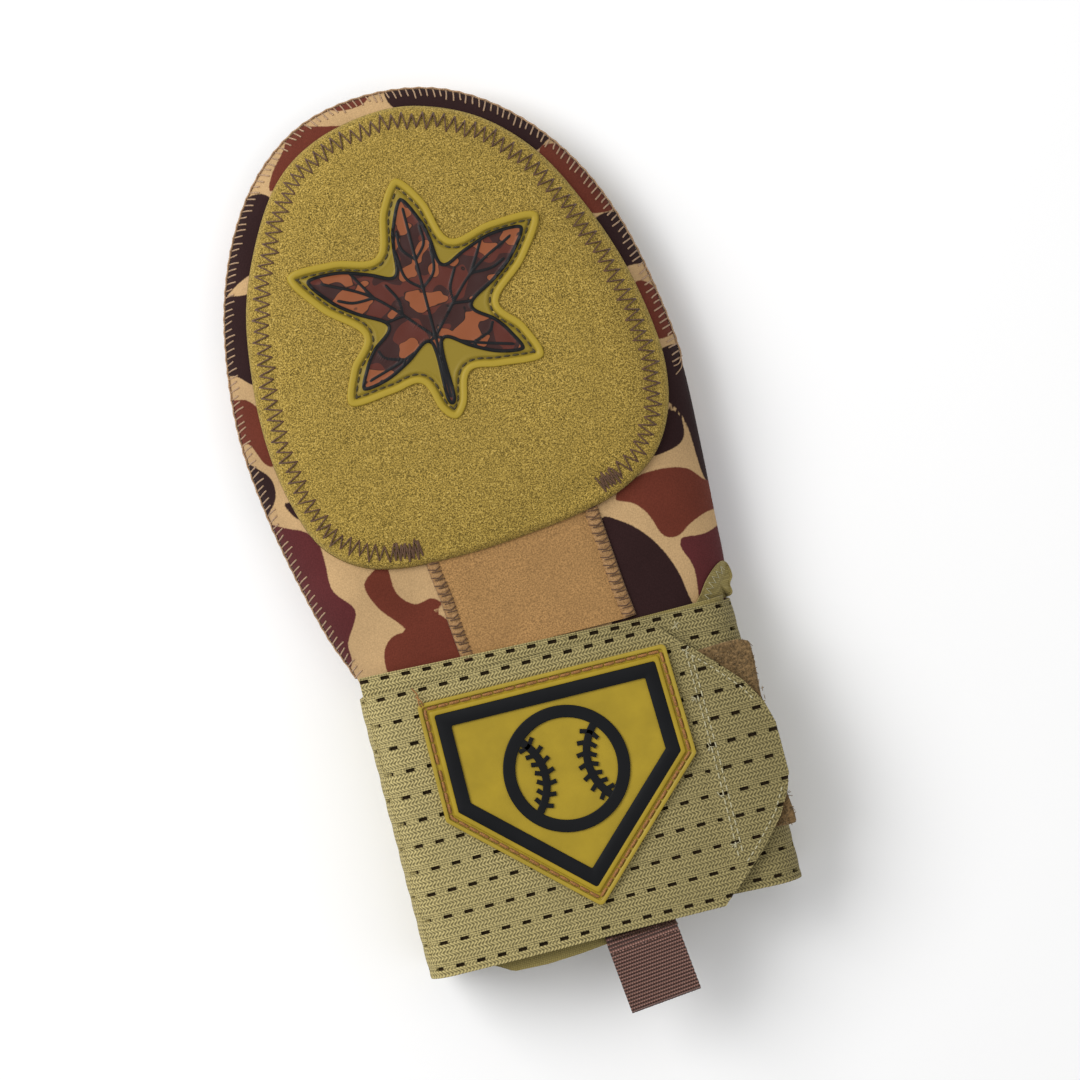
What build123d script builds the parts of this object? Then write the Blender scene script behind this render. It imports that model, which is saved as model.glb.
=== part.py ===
from build123d import *
from math import atan2, cos, radians, sin
import os

# A padded sliding mitt for one hand, lying palm down with its wrist strap wrapped and closed.
# +X is the thumb side, +Y the fingertips, +Z the back of the hand.
# The origin is the centre of the palm pad's flat underside, so the mitt rests on z = 0.

os.makedirs("parts", exist_ok=True)

# ---- Hand part, mm -------------------------------------------------------------------------
hand_length = 203.0          # wrist seam to fingertips
palm_width = 154.0           # across the knuckles
wrist_y = -118.0             # wrist seam
top_at_tips = 25.0           # height of the back of the mitt over the fingertips
tip_edge_height = 8.0        # thickness left where the two halves close at the fingertips
shell_wall = 3.0             # neoprene
shell_corner = 8.0           # round between the flat back and the side
lining_wall = 1.0
lining_margin = 4.0          # bare seam allowance at the wrist end of the lining
seam_lift = 0.5              # share of the side height at which the two halves are sewn

# ---- Pads, mm ------------------------------------------------------------------------------
pad_length = 155.0
pad_width = 139.6
pad_thickness = 7.0
pad_centre_y = 0.0
cover_wall = 1.5             # brushed fabric over the foam
pad_sewn_margin = 14.0       # flat edge of the cover, outside the pocket for foam and plate
plate_thickness = 1.6        # stiff plate under the foam
pad_edge_round = 2.5
zigzag_inset = 4.5           # pad edge to the zigzag
zigzag_width = 7.0
zigzag_depth = 0.6
zigzag_gap = 58.0            # length left unsewn on the wrist side
zigzag_gap_x = 4.0           # middle of that length

# ---- Stretch gusset, mm --------------------------------------------------------------------
gusset_top_width = 56.0
gusset_wrist_width = 57.0
gusset_top_x = 2.8           # centre of the gusset under the pad
gusset_wrist_x = 8.3         # centre of the gusset at the wrist
gusset_under_pad = 12.0      # how far the gusset runs on under the pad
gusset_wall = 1.8
seam_thread_width = 4.0
overlock_height = 5.0        # stitch length over the joined edges
overlock_thickness = 1.2
overlock_start = 3.0         # above the elastic, on the little finger's side
overlock_end_y = -29.0       # where it stops on the thumb side

# ---- Cuff and elastic strap, mm ------------------------------------------------------------
sleeve_left = -58.6
sleeve_right = 69.3
sleeve_height = 34.0
sleeve_wall = 2.2
sleeve_corner = 9.0
sleeve_length = 101.0        # wrist seam to the hem at its middle
hem_drop = 9.0               # how far the hem's middle hangs below its two corners
elastic_width = 98.0
elastic_thickness = 1.6
wrap_top_y = -112.5          # upper edge of the first turn of elastic
strap_top_y = -116.5         # upper edge of the turn that carries the badge
layer_one_end = 5.1          # from the sleeve's left side to the sewn end of the elastic
loop_panel_left = -22.0
loop_panel_right = 74.0
loop_panel_top_y = -131.5
loop_panel_height = 62.0
loop_thickness = 1.4
hook_thickness = 0.9
hook_margin = 4.0
strap_hinge_x = -48.8        # where the closed strap leaves the left fold
peel_hinge_x = 48.6          # where the free end bends up
strap_tip_x = 75.0           # blunt end of the strap
end_thread_inset = 3.5
end_thread_width = 1.2

# ---- Badge on the strap, mm ----------------------------------------------------------------
badge_centre_x = 2.4
badge_top_y = -122.5
badge_width = 86.5
badge_side = 40.0            # straight side above the point
badge_point = 41.5           # depth of the point
badge_base_thickness = 2.2
badge_rim = 5.0              # rim edge to the dark border
badge_border_width = 5.0
badge_relief = 0.8
badge_thread_inset = 2.6
badge_thread_width = 1.0
ball_radius = 20.0
ball_y = -156.0
mark_stroke = 5.0
ball_seam_radius = 17.0      # the two curved seams of the ball
ball_seam_reach = 24.0       # ball centre to each seam's centre

# ---- Crest on the back pad, mm -------------------------------------------------------------
crest_x = -4.0
crest_y = 5.5
crest_thickness = 1.7
crest_relief = 0.8
crest_leaf_border = 6.5      # leaf edge to patch edge
leaf_round = 4.5             # round of each lobe and notch
crest_thread_inset = 3.0
crest_thread_width = 1.0

# ---- Pull tab, mm --------------------------------------------------------------------------
tab_width = 24.4
tab_x = 14.2
tab_length = 21.5            # length of the folded loop
tab_webbing = 1.2
tab_loop_gap = 1.4
tab_neck = 1.3               # fold line to the open loop
bartack_width = 1.6
thread_height = 0.5

# ---- Thumb reinforcement, mm ---------------------------------------------------------------
tongue_left = 58.0
tongue_top_y = -102.0
tongue_wall = 1.0

# ---- Clearances, mm ------------------------------------------------------------------------
seat_gap = 0.05              # between flat faces that lie on each other
soft_gap = 0.2               # between curved soft walls
hinge_gap = 0.4              # between the two sides of a fold
overlock_gap = 0.6           # between the stitched edge and the thread over it

# ---- Worked out from the sizes above -------------------------------------------------------
tip_y = wrist_y + hand_length
sleeve_floor = elastic_thickness + soft_gap
sleeve_top = sleeve_floor + sleeve_height
sleeve_middle_x = (sleeve_left + sleeve_right) / 2
sleeve_width = sleeve_right - sleeve_left
wrap_lift = soft_gap + elastic_thickness / 2
layer_one_top = sleeve_top + soft_gap + elastic_thickness
loop_top = layer_one_top + seat_gap + loop_thickness
strap_floor = loop_top + seat_gap
strap_top = strap_floor + elastic_thickness
end_floor = strap_floor + hook_thickness + seat_gap
end_top = end_floor + elastic_thickness
hem_y = wrist_y - sleeve_length
shell_floor = pad_thickness + soft_gap
shell_floor_at_wrist = sleeve_floor + soft_gap
back_at_wrist = sleeve_top - soft_gap
back_slope = atan2(back_at_wrist - top_at_tips, hand_length)

# The flat back of the mitt falls towards the fingertips. Its pieces are built on this plane.
back_plane = Plane(
    origin=(0, wrist_y, back_at_wrist),
    x_dir=(1, 0, 0),
    z_dir=(0, sin(back_slope), cos(back_slope)),
)

# Share of the hand's length from the wrist to the pads' lower edge. The palm side is level a
# little below that edge, and dips to the cuff before it.
pads_at = (pad_centre_y - pad_length / 2 - wrist_y) / hand_length
level_at = 0.75 * pads_at


def reach_above_cuff(left_step, right_step):
    """Left and right reach partway from the cuff's sides to the palm's, in half palm widths."""
    half = palm_width / 2
    return ((left_step * (half + sleeve_left) - sleeve_left) / half,
            (right_step * (half - sleeve_right) + sleeve_right) / half)


# Cross sections of the hand part from the wrist to the tips: share of the hand's length, then
# left and right reach as shares of half the palm's width, then share of the full thickness.
hand_sections = [
    (0.551 * pads_at, *reach_above_cuff(0.372, 0.400), 1.00),
    (0.927 * pads_at, *reach_above_cuff(0.602, 0.550), 1.00),
    (0.310, 0.978, 0.972, 1.00),
    (0.460, 1.015, 0.985, 1.00),
    (0.600, 0.993, 0.937, 1.00),
    (0.720, 0.930, 0.850, 1.00),
    (0.840, 0.790, 0.690, 0.98),
    (0.918, 0.615, 0.500, 0.92),
    (0.967, 0.430, 0.310, 0.78),
    (0.992, 0.255, 0.135, 0.60),
]

# The strap's free end: shares of its length past the fold, then of the elastic's width.
end_shape = [(0.0, 0.02), (0.74, 0.26), (1.0, 0.47), (1.0, 0.62), (0.72, 0.78), (0.0, 0.96)]

# Outline of a pad, as shares of half its width and half its length, clockwise from the tip.
pad_shape = [
    (-0.11, 1.00), (0.41, 0.86), (0.75, 0.50), (0.94, 0.06), (1.00, -0.39), (0.82, -0.79),
    (0.44, -0.95), (-0.20, -1.00), (-0.75, -0.91), (-0.97, -0.53), (-0.99, -0.06),
    (-0.87, 0.45), (-0.61, 0.82),
]

# The crest's leaf: direction in degrees and reach in mm of each lobe and each notch.
leaf_shape = [
    (90, 40), (60, 19), (28, 43), (-5, 17), (-36, 35), (-68, 14), (-90, 31), (-112, 14),
    (-144, 35), (-175, 17), (152, 43), (120, 19),
]


def back_height(y):
    """Height of the flat back of the mitt."""
    return back_at_wrist + (top_at_tips - back_at_wrist) * (y - wrist_y) / hand_length


def hand_form(inset):
    """The closed form of the hand part, set in from its outer skin."""
    sections = []
    for y in (wrist_y - inset, wrap_top_y):
        sections.append((y, sleeve_left + soft_gap + inset, sleeve_right - soft_gap - inset,
                         shell_floor_at_wrist + inset, back_height(y) - inset))
    for share, left, right, fullness in hand_sections:
        y = wrist_y + share * (hand_length - inset)
        floor = shell_floor if share > level_at else (shell_floor + shell_floor_at_wrist) / 2
        full = back_height(y) - floor
        middle = floor + seam_lift * full
        half = (tip_edge_height + (full - tip_edge_height) * fullness) / 2 - inset
        sections.append((y, inset - left * palm_width / 2, right * palm_width / 2 - inset,
                         middle - half, middle + half))
    with BuildPart(mode=Mode.PRIVATE) as form:
        for y, left, right, floor, top in sections:
            corner = min(shell_corner - inset / 2, 0.45 * (top - floor))
            with BuildSketch(Plane.XZ.offset(-y)):
                with Locations(((left + right) / 2, (floor + top) / 2)):
                    RectangleRounded(right - left, top - floor, corner)
        loft()
    return form.part


def hand_outline(outset):
    """Plan outline of the hand part, measured from the wrist seam, set out from its edge."""
    left = [(-reach * palm_width / 2 - outset, share * hand_length)
            for share, reach, _, _ in hand_sections]
    right = [(reach * palm_width / 2 + outset, share * hand_length)
             for share, _, reach, _ in reversed(hand_sections)]
    tip = ((left[-1][0] + right[0][0]) / 2, hand_length + outset)
    with BuildSketch(mode=Mode.PRIVATE) as face:
        with BuildLine():
            edge = Spline((sleeve_left - outset, 0), *left, tip, *right, (sleeve_right + outset, 0))
            Line(edge @ 1, edge @ 0)
        make_face()
    return face.sketch


def pad_face(inset):
    """A pad's outline, set in from its edge."""
    points = [(x * (pad_width / 2 - inset), y * (pad_length / 2 - inset)) for x, y in pad_shape]
    with BuildSketch(mode=Mode.PRIVATE) as face:
        with BuildLine():
            Spline(*points, periodic=True)
        make_face()
    return face.sketch


def leaf_face(outset):
    """The crest's leaf, or the patch behind it when it is set out."""
    points = [((reach + outset) * cos(radians(turn)), (reach + outset) * sin(radians(turn)))
              for turn, reach in leaf_shape]
    with BuildSketch(mode=Mode.PRIVATE) as face:
        with BuildLine():
            FilletPolyline(*points, radius=leaf_round, close=True)
        make_face()
    return face.sketch


def plate_face(inset):
    """The badge's five-sided outline, set in from its rim."""
    half = badge_width / 2
    with BuildSketch(mode=Mode.PRIVATE) as face:
        with BuildLine():
            Polyline((badge_centre_x - half, badge_top_y), (badge_centre_x + half, badge_top_y),
                     (badge_centre_x + half, badge_top_y - badge_side),
                     (badge_centre_x, badge_top_y - badge_side - badge_point),
                     (badge_centre_x - half, badge_top_y - badge_side), close=True)
        make_face()
        if inset:
            offset(amount=-inset, kind=Kind.INTERSECTION)
    return face.sketch


def end_face(inset):
    """The chamfered outline of the strap's free end, set in from its edge."""
    start_x = peel_hinge_x + hinge_gap / 2
    points = [(start_x + along * (strap_tip_x - start_x), strap_top_y - down * elastic_width)
              for along, down in end_shape]
    with BuildSketch(mode=Mode.PRIVATE) as face:
        with BuildLine():
            Polyline(*points, close=True)
        make_face()
        if inset:
            offset(amount=-inset, kind=Kind.INTERSECTION)
    return face.sketch


def ball_seams():
    """The two curved seams of the ball, cut off at its edge."""
    with BuildSketch(mode=Mode.PRIVATE) as seams:
        with Locations((-ball_seam_reach, 0), (ball_seam_reach, 0)):
            Circle(ball_seam_radius + mark_stroke / 2)
        with Locations((-ball_seam_reach, 0), (ball_seam_reach, 0)):
            Circle(ball_seam_radius - mark_stroke / 2, mode=Mode.SUBTRACT)
        Circle(ball_radius - mark_stroke / 2, mode=Mode.INTERSECT)
    return seams.sketch


def save(piece, label):
    """Name a finished piece and write it."""
    piece.part.label = label
    export_step(piece.part, f"parts/{label}.step")


# ---- Shells, linings and gusset ------------------------------------------------------------
outer_form = hand_form(0)
wall_form = hand_form(shell_wall)
lining_form = hand_form(shell_wall + seat_gap)
hollow_form = hand_form(shell_wall + seat_gap + lining_wall)

seam_at_wrist = shell_floor_at_wrist + seam_lift * (back_at_wrist - shell_floor_at_wrist)
seam_at_tips = shell_floor + seam_lift * (top_at_tips - shell_floor)
seam_slope = atan2(seam_at_wrist - seam_at_tips, hand_length)
seam_plane = Plane(origin=(0, wrist_y, seam_at_wrist), x_dir=(1, 0, 0),
                   z_dir=(0, sin(seam_slope), cos(seam_slope)))
halves = (
    ("back", seam_plane.offset(seat_gap / 2), Keep.TOP),
    ("palm", seam_plane.offset(-seat_gap / 2), Keep.BOTTOM),
)


def gusset_face(outset):
    """The gusset's tapering outline on the back of the mitt, widened along both seams."""
    top_y = pad_centre_y - pad_length / 2 + gusset_under_pad - wrist_y
    with BuildSketch(mode=Mode.PRIVATE) as face:
        with BuildLine():
            Polyline((gusset_wrist_x - gusset_wrist_width / 2 - outset, soft_gap - outset),
                     (gusset_wrist_x + gusset_wrist_width / 2 + outset, soft_gap - outset),
                     (gusset_top_x + gusset_top_width / 2 + outset, top_y + outset),
                     (gusset_top_x - gusset_top_width / 2 - outset, top_y + outset), close=True)
        make_face()
    return face.sketch


for side, cut, keep in halves:
    with BuildPart() as shell:
        add(outer_form)
        add(wall_form, mode=Mode.SUBTRACT)
        split(bisect_by=cut, keep=keep)
        if side == "back":
            with BuildSketch(back_plane.offset(seat_gap)):
                add(gusset_face(seat_gap))
            extrude(amount=-2 * shell_wall, mode=Mode.SUBTRACT)
    save(shell, f"{side}_shell")

    with BuildPart() as lining:
        add(lining_form)
        add(hollow_form, mode=Mode.SUBTRACT)
        split(bisect_by=cut, keep=keep)
        split(bisect_by=Plane.XZ.offset(-(wrist_y + lining_margin)), keep=Keep.BOTTOM)
    save(lining, f"{side}_lining")

with BuildPart() as gusset:
    with BuildSketch(back_plane):
        add(gusset_face(0))
    extrude(amount=-gusset_wall)
save(gusset, "stretch_gusset")

# ---- Threads that join the hand part -------------------------------------------------------
with BuildPart() as overlock:
    with BuildSketch(seam_plane.offset(-overlock_height / 2)):
        add(hand_outline(overlock_gap + overlock_thickness))
        add(hand_outline(overlock_gap), mode=Mode.SUBTRACT)
        Rectangle(2 * palm_width, 2 * (wrap_top_y + overlock_start - wrist_y), mode=Mode.SUBTRACT)
        with Locations((palm_width, 0)):
            Rectangle(2 * palm_width, 2 * (overlock_end_y - wrist_y), mode=Mode.SUBTRACT)
    extrude(amount=overlock_height)
save(overlock, "edge_overlock_thread")

seam_top_y = pad_centre_y - pad_length / 2 - wrist_y - hinge_gap
for side, sign in (("left", -1), ("right", 1)):
    with BuildPart() as seam:
        with BuildSketch(back_plane.offset(seat_gap)):
            with BuildLine():
                Line((gusset_wrist_x + sign * gusset_wrist_width / 2, wrap_top_y - wrist_y + hinge_gap),
                     (gusset_top_x + sign * gusset_top_width / 2, seam_top_y))
            trace(line_width=seam_thread_width)
        extrude(amount=thread_height)
    save(seam, f"gusset_seam_{side}")

# ---- Pads: a sewn cover with a stiff plate and foam in its pocket ---------------------------
tilt = back_plane.z_dir
back_pad_plane = Plane(origin=(0, pad_centre_y, back_height(pad_centre_y)), x_dir=(1, 0, 0),
                       z_dir=tilt).offset(seat_gap)
palm_pad_plane = Plane(origin=(0, pad_centre_y, pad_thickness), x_dir=(1, 0, 0), z_dir=(0, 0, 1))
pocket_depth = pad_thickness - cover_wall
for side, base, out in (("back", back_pad_plane, 1), ("palm", palm_pad_plane, -1)):
    outer_face = base.offset(out * pad_thickness)
    with BuildPart() as cover:
        with BuildSketch(base):
            add(pad_face(0))
        extrude(amount=out * pad_thickness)
        rim = cover.faces().sort_by(SortBy.AREA)[-2:].sort_by(Axis.Z)[-1 if out > 0 else 0].edges()
        fillet(rim, pad_edge_round)
        with BuildSketch(base):
            add(pad_face(pad_sewn_margin))
        extrude(amount=out * pocket_depth, mode=Mode.SUBTRACT)
        with BuildSketch(outer_face):
            add(pad_face(zigzag_inset))
            add(pad_face(zigzag_inset + zigzag_width), mode=Mode.SUBTRACT)
            with Locations((zigzag_gap_x, -pad_length / 2)):
                Rectangle(zigzag_gap, pad_length / 4, mode=Mode.SUBTRACT)
        extrude(amount=-out * zigzag_depth, mode=Mode.SUBTRACT)
    save(cover, f"{side}_pad_cover")

    with BuildPart() as zigzag:
        with BuildSketch(outer_face):
            add(pad_face(zigzag_inset + seat_gap))
            add(pad_face(zigzag_inset + zigzag_width - seat_gap), mode=Mode.SUBTRACT)
            with Locations((zigzag_gap_x, -pad_length / 2)):
                Rectangle(zigzag_gap + 2 * seat_gap, pad_length / 4 + 2 * seat_gap, mode=Mode.SUBTRACT)
        extrude(amount=-out * (zigzag_depth - seat_gap))
    save(zigzag, f"{side}_pad_zigzag")

    with BuildPart() as plate:
        with BuildSketch(base):
            add(pad_face(pad_sewn_margin + soft_gap))
        extrude(amount=out * plate_thickness)
    save(plate, f"{side}_plate")

    with BuildPart() as foam:
        with BuildSketch(base.offset(out * (plate_thickness + seat_gap))):
            add(pad_face(pad_sewn_margin + soft_gap))
        extrude(amount=out * (pocket_depth - plate_thickness - 2 * seat_gap))
    save(foam, f"{side}_pad_foam")

# ---- Crest on the back pad -----------------------------------------------------------------
crest_plane = Plane(origin=back_pad_plane.offset(pad_thickness + seat_gap).from_local_coords(
    (crest_x, crest_y - pad_centre_y, 0)), x_dir=(1, 0, 0), z_dir=tilt)
with BuildPart() as crest_base:
    with BuildSketch(crest_plane):
        add(leaf_face(crest_leaf_border))
    extrude(amount=crest_thickness)
save(crest_base, "crest_base")

with BuildPart() as crest_leaf:
    with BuildSketch(crest_plane.offset(crest_thickness + seat_gap)):
        add(leaf_face(0))
    extrude(amount=crest_relief)
save(crest_leaf, "crest_leaf")

with BuildPart() as crest_thread:
    with BuildSketch(crest_plane.offset(crest_thickness + seat_gap)):
        add(leaf_face(crest_leaf_border - crest_thread_inset + crest_thread_width / 2))
        add(leaf_face(crest_leaf_border - crest_thread_inset - crest_thread_width / 2),
            mode=Mode.SUBTRACT)
    extrude(amount=thread_height)
save(crest_thread, "crest_stitching")

# ---- Thumb reinforcement round the side of the shell ---------------------------------------
with BuildPart() as tongue:
    add(hand_form(-soft_gap - tongue_wall))
    add(hand_form(-soft_gap), mode=Mode.SUBTRACT)
    split(bisect_by=seam_plane, keep=Keep.TOP)
    tongue_length = tongue_top_y - wrap_top_y - hinge_gap
    with BuildSketch(Plane.XY):
        with Locations((tongue_left + palm_width / 2, tongue_top_y - tongue_length / 2)):
            Rectangle(palm_width, tongue_length)
    extrude(amount=2 * sleeve_top, mode=Mode.INTERSECT)
save(tongue, "thumb_tongue")

# ---- Cuff sleeve ---------------------------------------------------------------------------
with BuildPart() as sleeve:
    with BuildSketch(Plane.XZ.offset(-(wrist_y - seat_gap))):
        with Locations((sleeve_middle_x, sleeve_floor + sleeve_height / 2)):
            RectangleRounded(sleeve_width, sleeve_height, sleeve_corner)
            RectangleRounded(sleeve_width - 2 * sleeve_wall, sleeve_height - 2 * sleeve_wall,
                             sleeve_corner - sleeve_wall, mode=Mode.SUBTRACT)
    extrude(amount=sleeve_length)
    with BuildSketch(Plane.XY):
        with BuildLine():
            hem = ThreePointArc((sleeve_left, hem_y + hem_drop), (sleeve_middle_x, hem_y),
                                (sleeve_right, hem_y + hem_drop))
            Polyline(hem @ 1, (sleeve_right, wrist_y), (sleeve_left, wrist_y), hem @ 0)
        make_face()
    extrude(amount=sleeve_top, mode=Mode.INTERSECT)
save(sleeve, "cuff_sleeve")

# ---- Elastic: one turn round the cuff, from its sewn end to the strap's fold -----------------
run_right = sleeve_right + wrap_lift
run_left = sleeve_left - wrap_lift
run_front = sleeve_top + wrap_lift
run_back = elastic_thickness / 2
run_strap = (strap_floor + strap_top) / 2
with BuildPart() as wrap:
    with BuildSketch(Plane.XZ.offset(-wrap_top_y)):
        with BuildLine():
            FilletPolyline((sleeve_left + layer_one_end, run_front), (run_right, run_front),
                           (run_right, run_back), (run_left, run_back), (run_left, run_strap),
                           (strap_hinge_x - hinge_gap / 2, run_strap),
                           radius=sleeve_corner + wrap_lift)
        trace(line_width=elastic_thickness)
    extrude(amount=elastic_width)
save(wrap, "elastic_wrap")

with BuildPart() as loop_panel:
    with BuildSketch(Plane.XY.offset(layer_one_top + seat_gap)):
        with Locations(((loop_panel_left + loop_panel_right) / 2, loop_panel_top_y - loop_panel_height / 2)):
            Rectangle(loop_panel_right - loop_panel_left, loop_panel_height)
    extrude(amount=loop_thickness)
save(loop_panel, "loop_panel")

# ---- Strap: the turn over the front, and its free end --------------------------------------
front_start = strap_hinge_x + hinge_gap / 2
front_end = peel_hinge_x - hinge_gap / 2
with BuildPart() as front_band:
    with BuildSketch(Plane.XY.offset(strap_floor)):
        with Locations(((front_start + front_end) / 2, strap_top_y - elastic_width / 2)):
            Rectangle(front_end - front_start, elastic_width)
    extrude(amount=elastic_thickness)
save(front_band, "strap_front_band")

with BuildPart() as end_band:
    with BuildSketch(Plane.XY.offset(end_floor)):
        add(end_face(0))
    extrude(amount=elastic_thickness)
save(end_band, "strap_end_band")

with BuildPart() as hook_panel:
    with BuildSketch(Plane.XY.offset(strap_floor)):
        add(end_face(hook_margin))
    extrude(amount=hook_thickness)
save(hook_panel, "hook_panel")

with BuildPart() as end_thread:
    with BuildSketch(Plane.XY.offset(end_top + seat_gap)):
        add(end_face(end_thread_inset))
        add(end_face(end_thread_inset + end_thread_width), mode=Mode.SUBTRACT)
    extrude(amount=thread_height)
save(end_thread, "strap_end_stitching")

# ---- Badge on the strap --------------------------------------------------------------------
badge_floor = strap_top + seat_gap
badge_face_z = badge_floor + badge_base_thickness
with BuildPart() as badge_base:
    with BuildSketch(Plane.XY.offset(badge_floor)):
        add(plate_face(0))
    extrude(amount=badge_base_thickness)
save(badge_base, "badge_base")

with BuildPart() as badge_border:
    with BuildSketch(Plane.XY.offset(badge_face_z + seat_gap)):
        add(plate_face(badge_rim))
        add(plate_face(badge_rim + badge_border_width), mode=Mode.SUBTRACT)
    extrude(amount=badge_relief)
save(badge_border, "badge_border")

with BuildPart() as badge_ball:
    with BuildSketch(Plane.XY.offset(badge_face_z + seat_gap)):
        with Locations((badge_centre_x, ball_y)):
            Circle(ball_radius)
            Circle(ball_radius - mark_stroke, mode=Mode.SUBTRACT)
            add(ball_seams())
    extrude(amount=badge_relief)
save(badge_ball, "badge_ball_mark")

with BuildPart() as badge_thread:
    with BuildSketch(Plane.XY.offset(badge_face_z + seat_gap)):
        add(plate_face(badge_thread_inset))
        add(plate_face(badge_thread_inset + badge_thread_width), mode=Mode.SUBTRACT)
    extrude(amount=thread_height)
save(badge_thread, "badge_stitching")

# ---- Pull tab at the hem -------------------------------------------------------------------
tab_hinge_y = hem_y - hinge_gap / 2
tab_root_top = sleeve_top + seat_gap + 2 * tab_webbing
tab_middle_z = sleeve_top + seat_gap + tab_webbing
tab_root_y = wrap_top_y - elastic_width - hinge_gap
with BuildPart() as tab_root:
    with BuildSketch(Plane.XY.offset(sleeve_top + seat_gap)):
        with Locations((tab_x, (tab_root_y + hem_y) / 2)):
            Rectangle(tab_width, tab_root_y - hem_y - hinge_gap)
    extrude(amount=2 * tab_webbing)
save(tab_root, "pull_tab_root")

with BuildPart() as bartack:
    with BuildSketch(Plane.XY.offset(tab_root_top + seat_gap)):
        with Locations((tab_x, hem_y + 2 * bartack_width)):
            Rectangle(tab_width - 2 * bartack_width, bartack_width)
    extrude(amount=thread_height)
save(bartack, "pull_tab_bartack")

tab_loop_height = 2 * tab_webbing + tab_loop_gap
with BuildPart() as tab:
    with BuildSketch(Plane.YZ.offset(tab_x)):
        with Locations((tab_hinge_y - tab_neck - tab_length / 2, tab_middle_z)):
            SlotOverall(tab_length, tab_loop_height)
            SlotOverall(tab_length - 2 * tab_webbing, tab_loop_gap, mode=Mode.SUBTRACT)
    extrude(amount=tab_width / 2, both=True)
save(tab, "pull_tab")
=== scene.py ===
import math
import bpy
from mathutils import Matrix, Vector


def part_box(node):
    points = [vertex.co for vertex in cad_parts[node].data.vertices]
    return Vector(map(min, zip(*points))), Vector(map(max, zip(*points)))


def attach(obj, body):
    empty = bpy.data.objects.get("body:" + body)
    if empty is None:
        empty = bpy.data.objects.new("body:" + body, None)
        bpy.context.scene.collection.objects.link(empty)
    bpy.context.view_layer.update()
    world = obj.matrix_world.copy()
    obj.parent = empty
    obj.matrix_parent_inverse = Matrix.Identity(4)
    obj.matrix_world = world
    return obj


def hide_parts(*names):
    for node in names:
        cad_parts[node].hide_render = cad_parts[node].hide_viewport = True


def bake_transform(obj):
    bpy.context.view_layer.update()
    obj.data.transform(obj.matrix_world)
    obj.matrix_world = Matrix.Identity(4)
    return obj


bl_info = {
    "name": "Padded Sliding Mitt",
    "version": (1, 0, 0),
    "blender": (4, 5, 0),
    "location": "View3D > Sidebar > Mitt",
    "description": "Builds the fabric, padding, rubber and thread of a sliding mitt round its frame",
    "category": "Object",
}

import bpy
import numpy as np

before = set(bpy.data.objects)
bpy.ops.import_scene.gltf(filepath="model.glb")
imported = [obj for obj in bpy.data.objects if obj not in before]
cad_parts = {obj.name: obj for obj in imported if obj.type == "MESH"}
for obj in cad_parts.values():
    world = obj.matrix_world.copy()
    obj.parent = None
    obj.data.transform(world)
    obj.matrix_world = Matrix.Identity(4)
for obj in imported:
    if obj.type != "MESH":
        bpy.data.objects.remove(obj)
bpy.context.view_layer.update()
MM = 0.001


def node_box(name):
    """Lowest and highest corner of a frame node, in mm."""
    low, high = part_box(name)
    return np.array(low) / MM, np.array(high) / MM


# ---- Places taken from the frame, mm -------------------------------------------------------
SHELL_LOW, SHELL_HIGH = node_box("back_shell")
_, PALM_PAD_HIGH = node_box("palm_pad_cover")
SLEEVE_LOW, SLEEVE_HIGH = node_box("cuff_sleeve")
WRAP_LOW, WRAP_HIGH = node_box("elastic_wrap")
LOOP_LOW, LOOP_HIGH = node_box("loop_panel")
FRONT_LOW, FRONT_HIGH = node_box("strap_front_band")
END_LOW, END_HIGH = node_box("strap_end_band")
HOOK_LOW, HOOK_HIGH = node_box("hook_panel")
BADGE_LOW, BADGE_HIGH = node_box("badge_base")
TAB_LOW, TAB_HIGH = node_box("pull_tab")

WRIST_Y = SHELL_LOW[1]
TIP_Y = 84.6
WRIST_TOP = SHELL_HIGH[2]
TIP_TOP = 25.0
WRIST_SEAM = 18.8
TIP_SEAM = 15.6
PALM_FLOOR = PALM_PAD_HIGH[2] + 0.2
WRIST_FLOOR = SLEEVE_LOW[2] + 0.3
PAD_THICK = 6.6
DOME_REACH = 24.0

# Outline of the hand part from the wrist on the little finger's side, round the tips and
# back to the wrist on the thumb side.
HAND_EDGE = [
    (-58.6, -118.5), (-60.6, -108), (-66.4, -92), (-72.2, -68), (-76.4, -44), (-78.4, -20),
    (-76.7, 4), (-71.6, 28), (-62, 50.5), (-48, 68.8), (-30, 80.6), (-8, 84.6), (14.5, 81.8),
    (33, 72.4), (49, 57.2), (61, 38.2), (69, 16), (74, -10), (76, -32), (75.2, -60),
    (73.8, -85), (72.6, -104), (69, -118.5),
]

# Outline of the back pad, clockwise from its tip.
PAD_EDGE = [
    (-8, 77.6), (9.6, 76.2), (29.7, 66.9), (45.9, 50.3), (57.3, 28), (65.3, 5), (69.4, -18),
    (69.6, -34), (66, -48.5), (58, -60.8), (45, -69.2), (28, -74), (4.5, -76.8),
    (-14.8, -77.8), (-36, -76.6), (-50, -72), (-60.8, -61.7), (-66.8, -45), (-69.6, -26),
    (-69.2, -4), (-65, 22.5), (-55.2, 45.8), (-43.2, 63.2), (-27.8, 73.1),
]

# Seams of the stretch gusset, from the pad to the strap.
SEAM_LEFT = [(-24.6, -70), (-24.2, -80), (-22.8, -90), (-22, -100), (-20.8, -112)]
SEAM_RIGHT = [(32.2, -66), (32.6, -76), (33.6, -88), (34.6, -100), (36, -112)]

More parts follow.
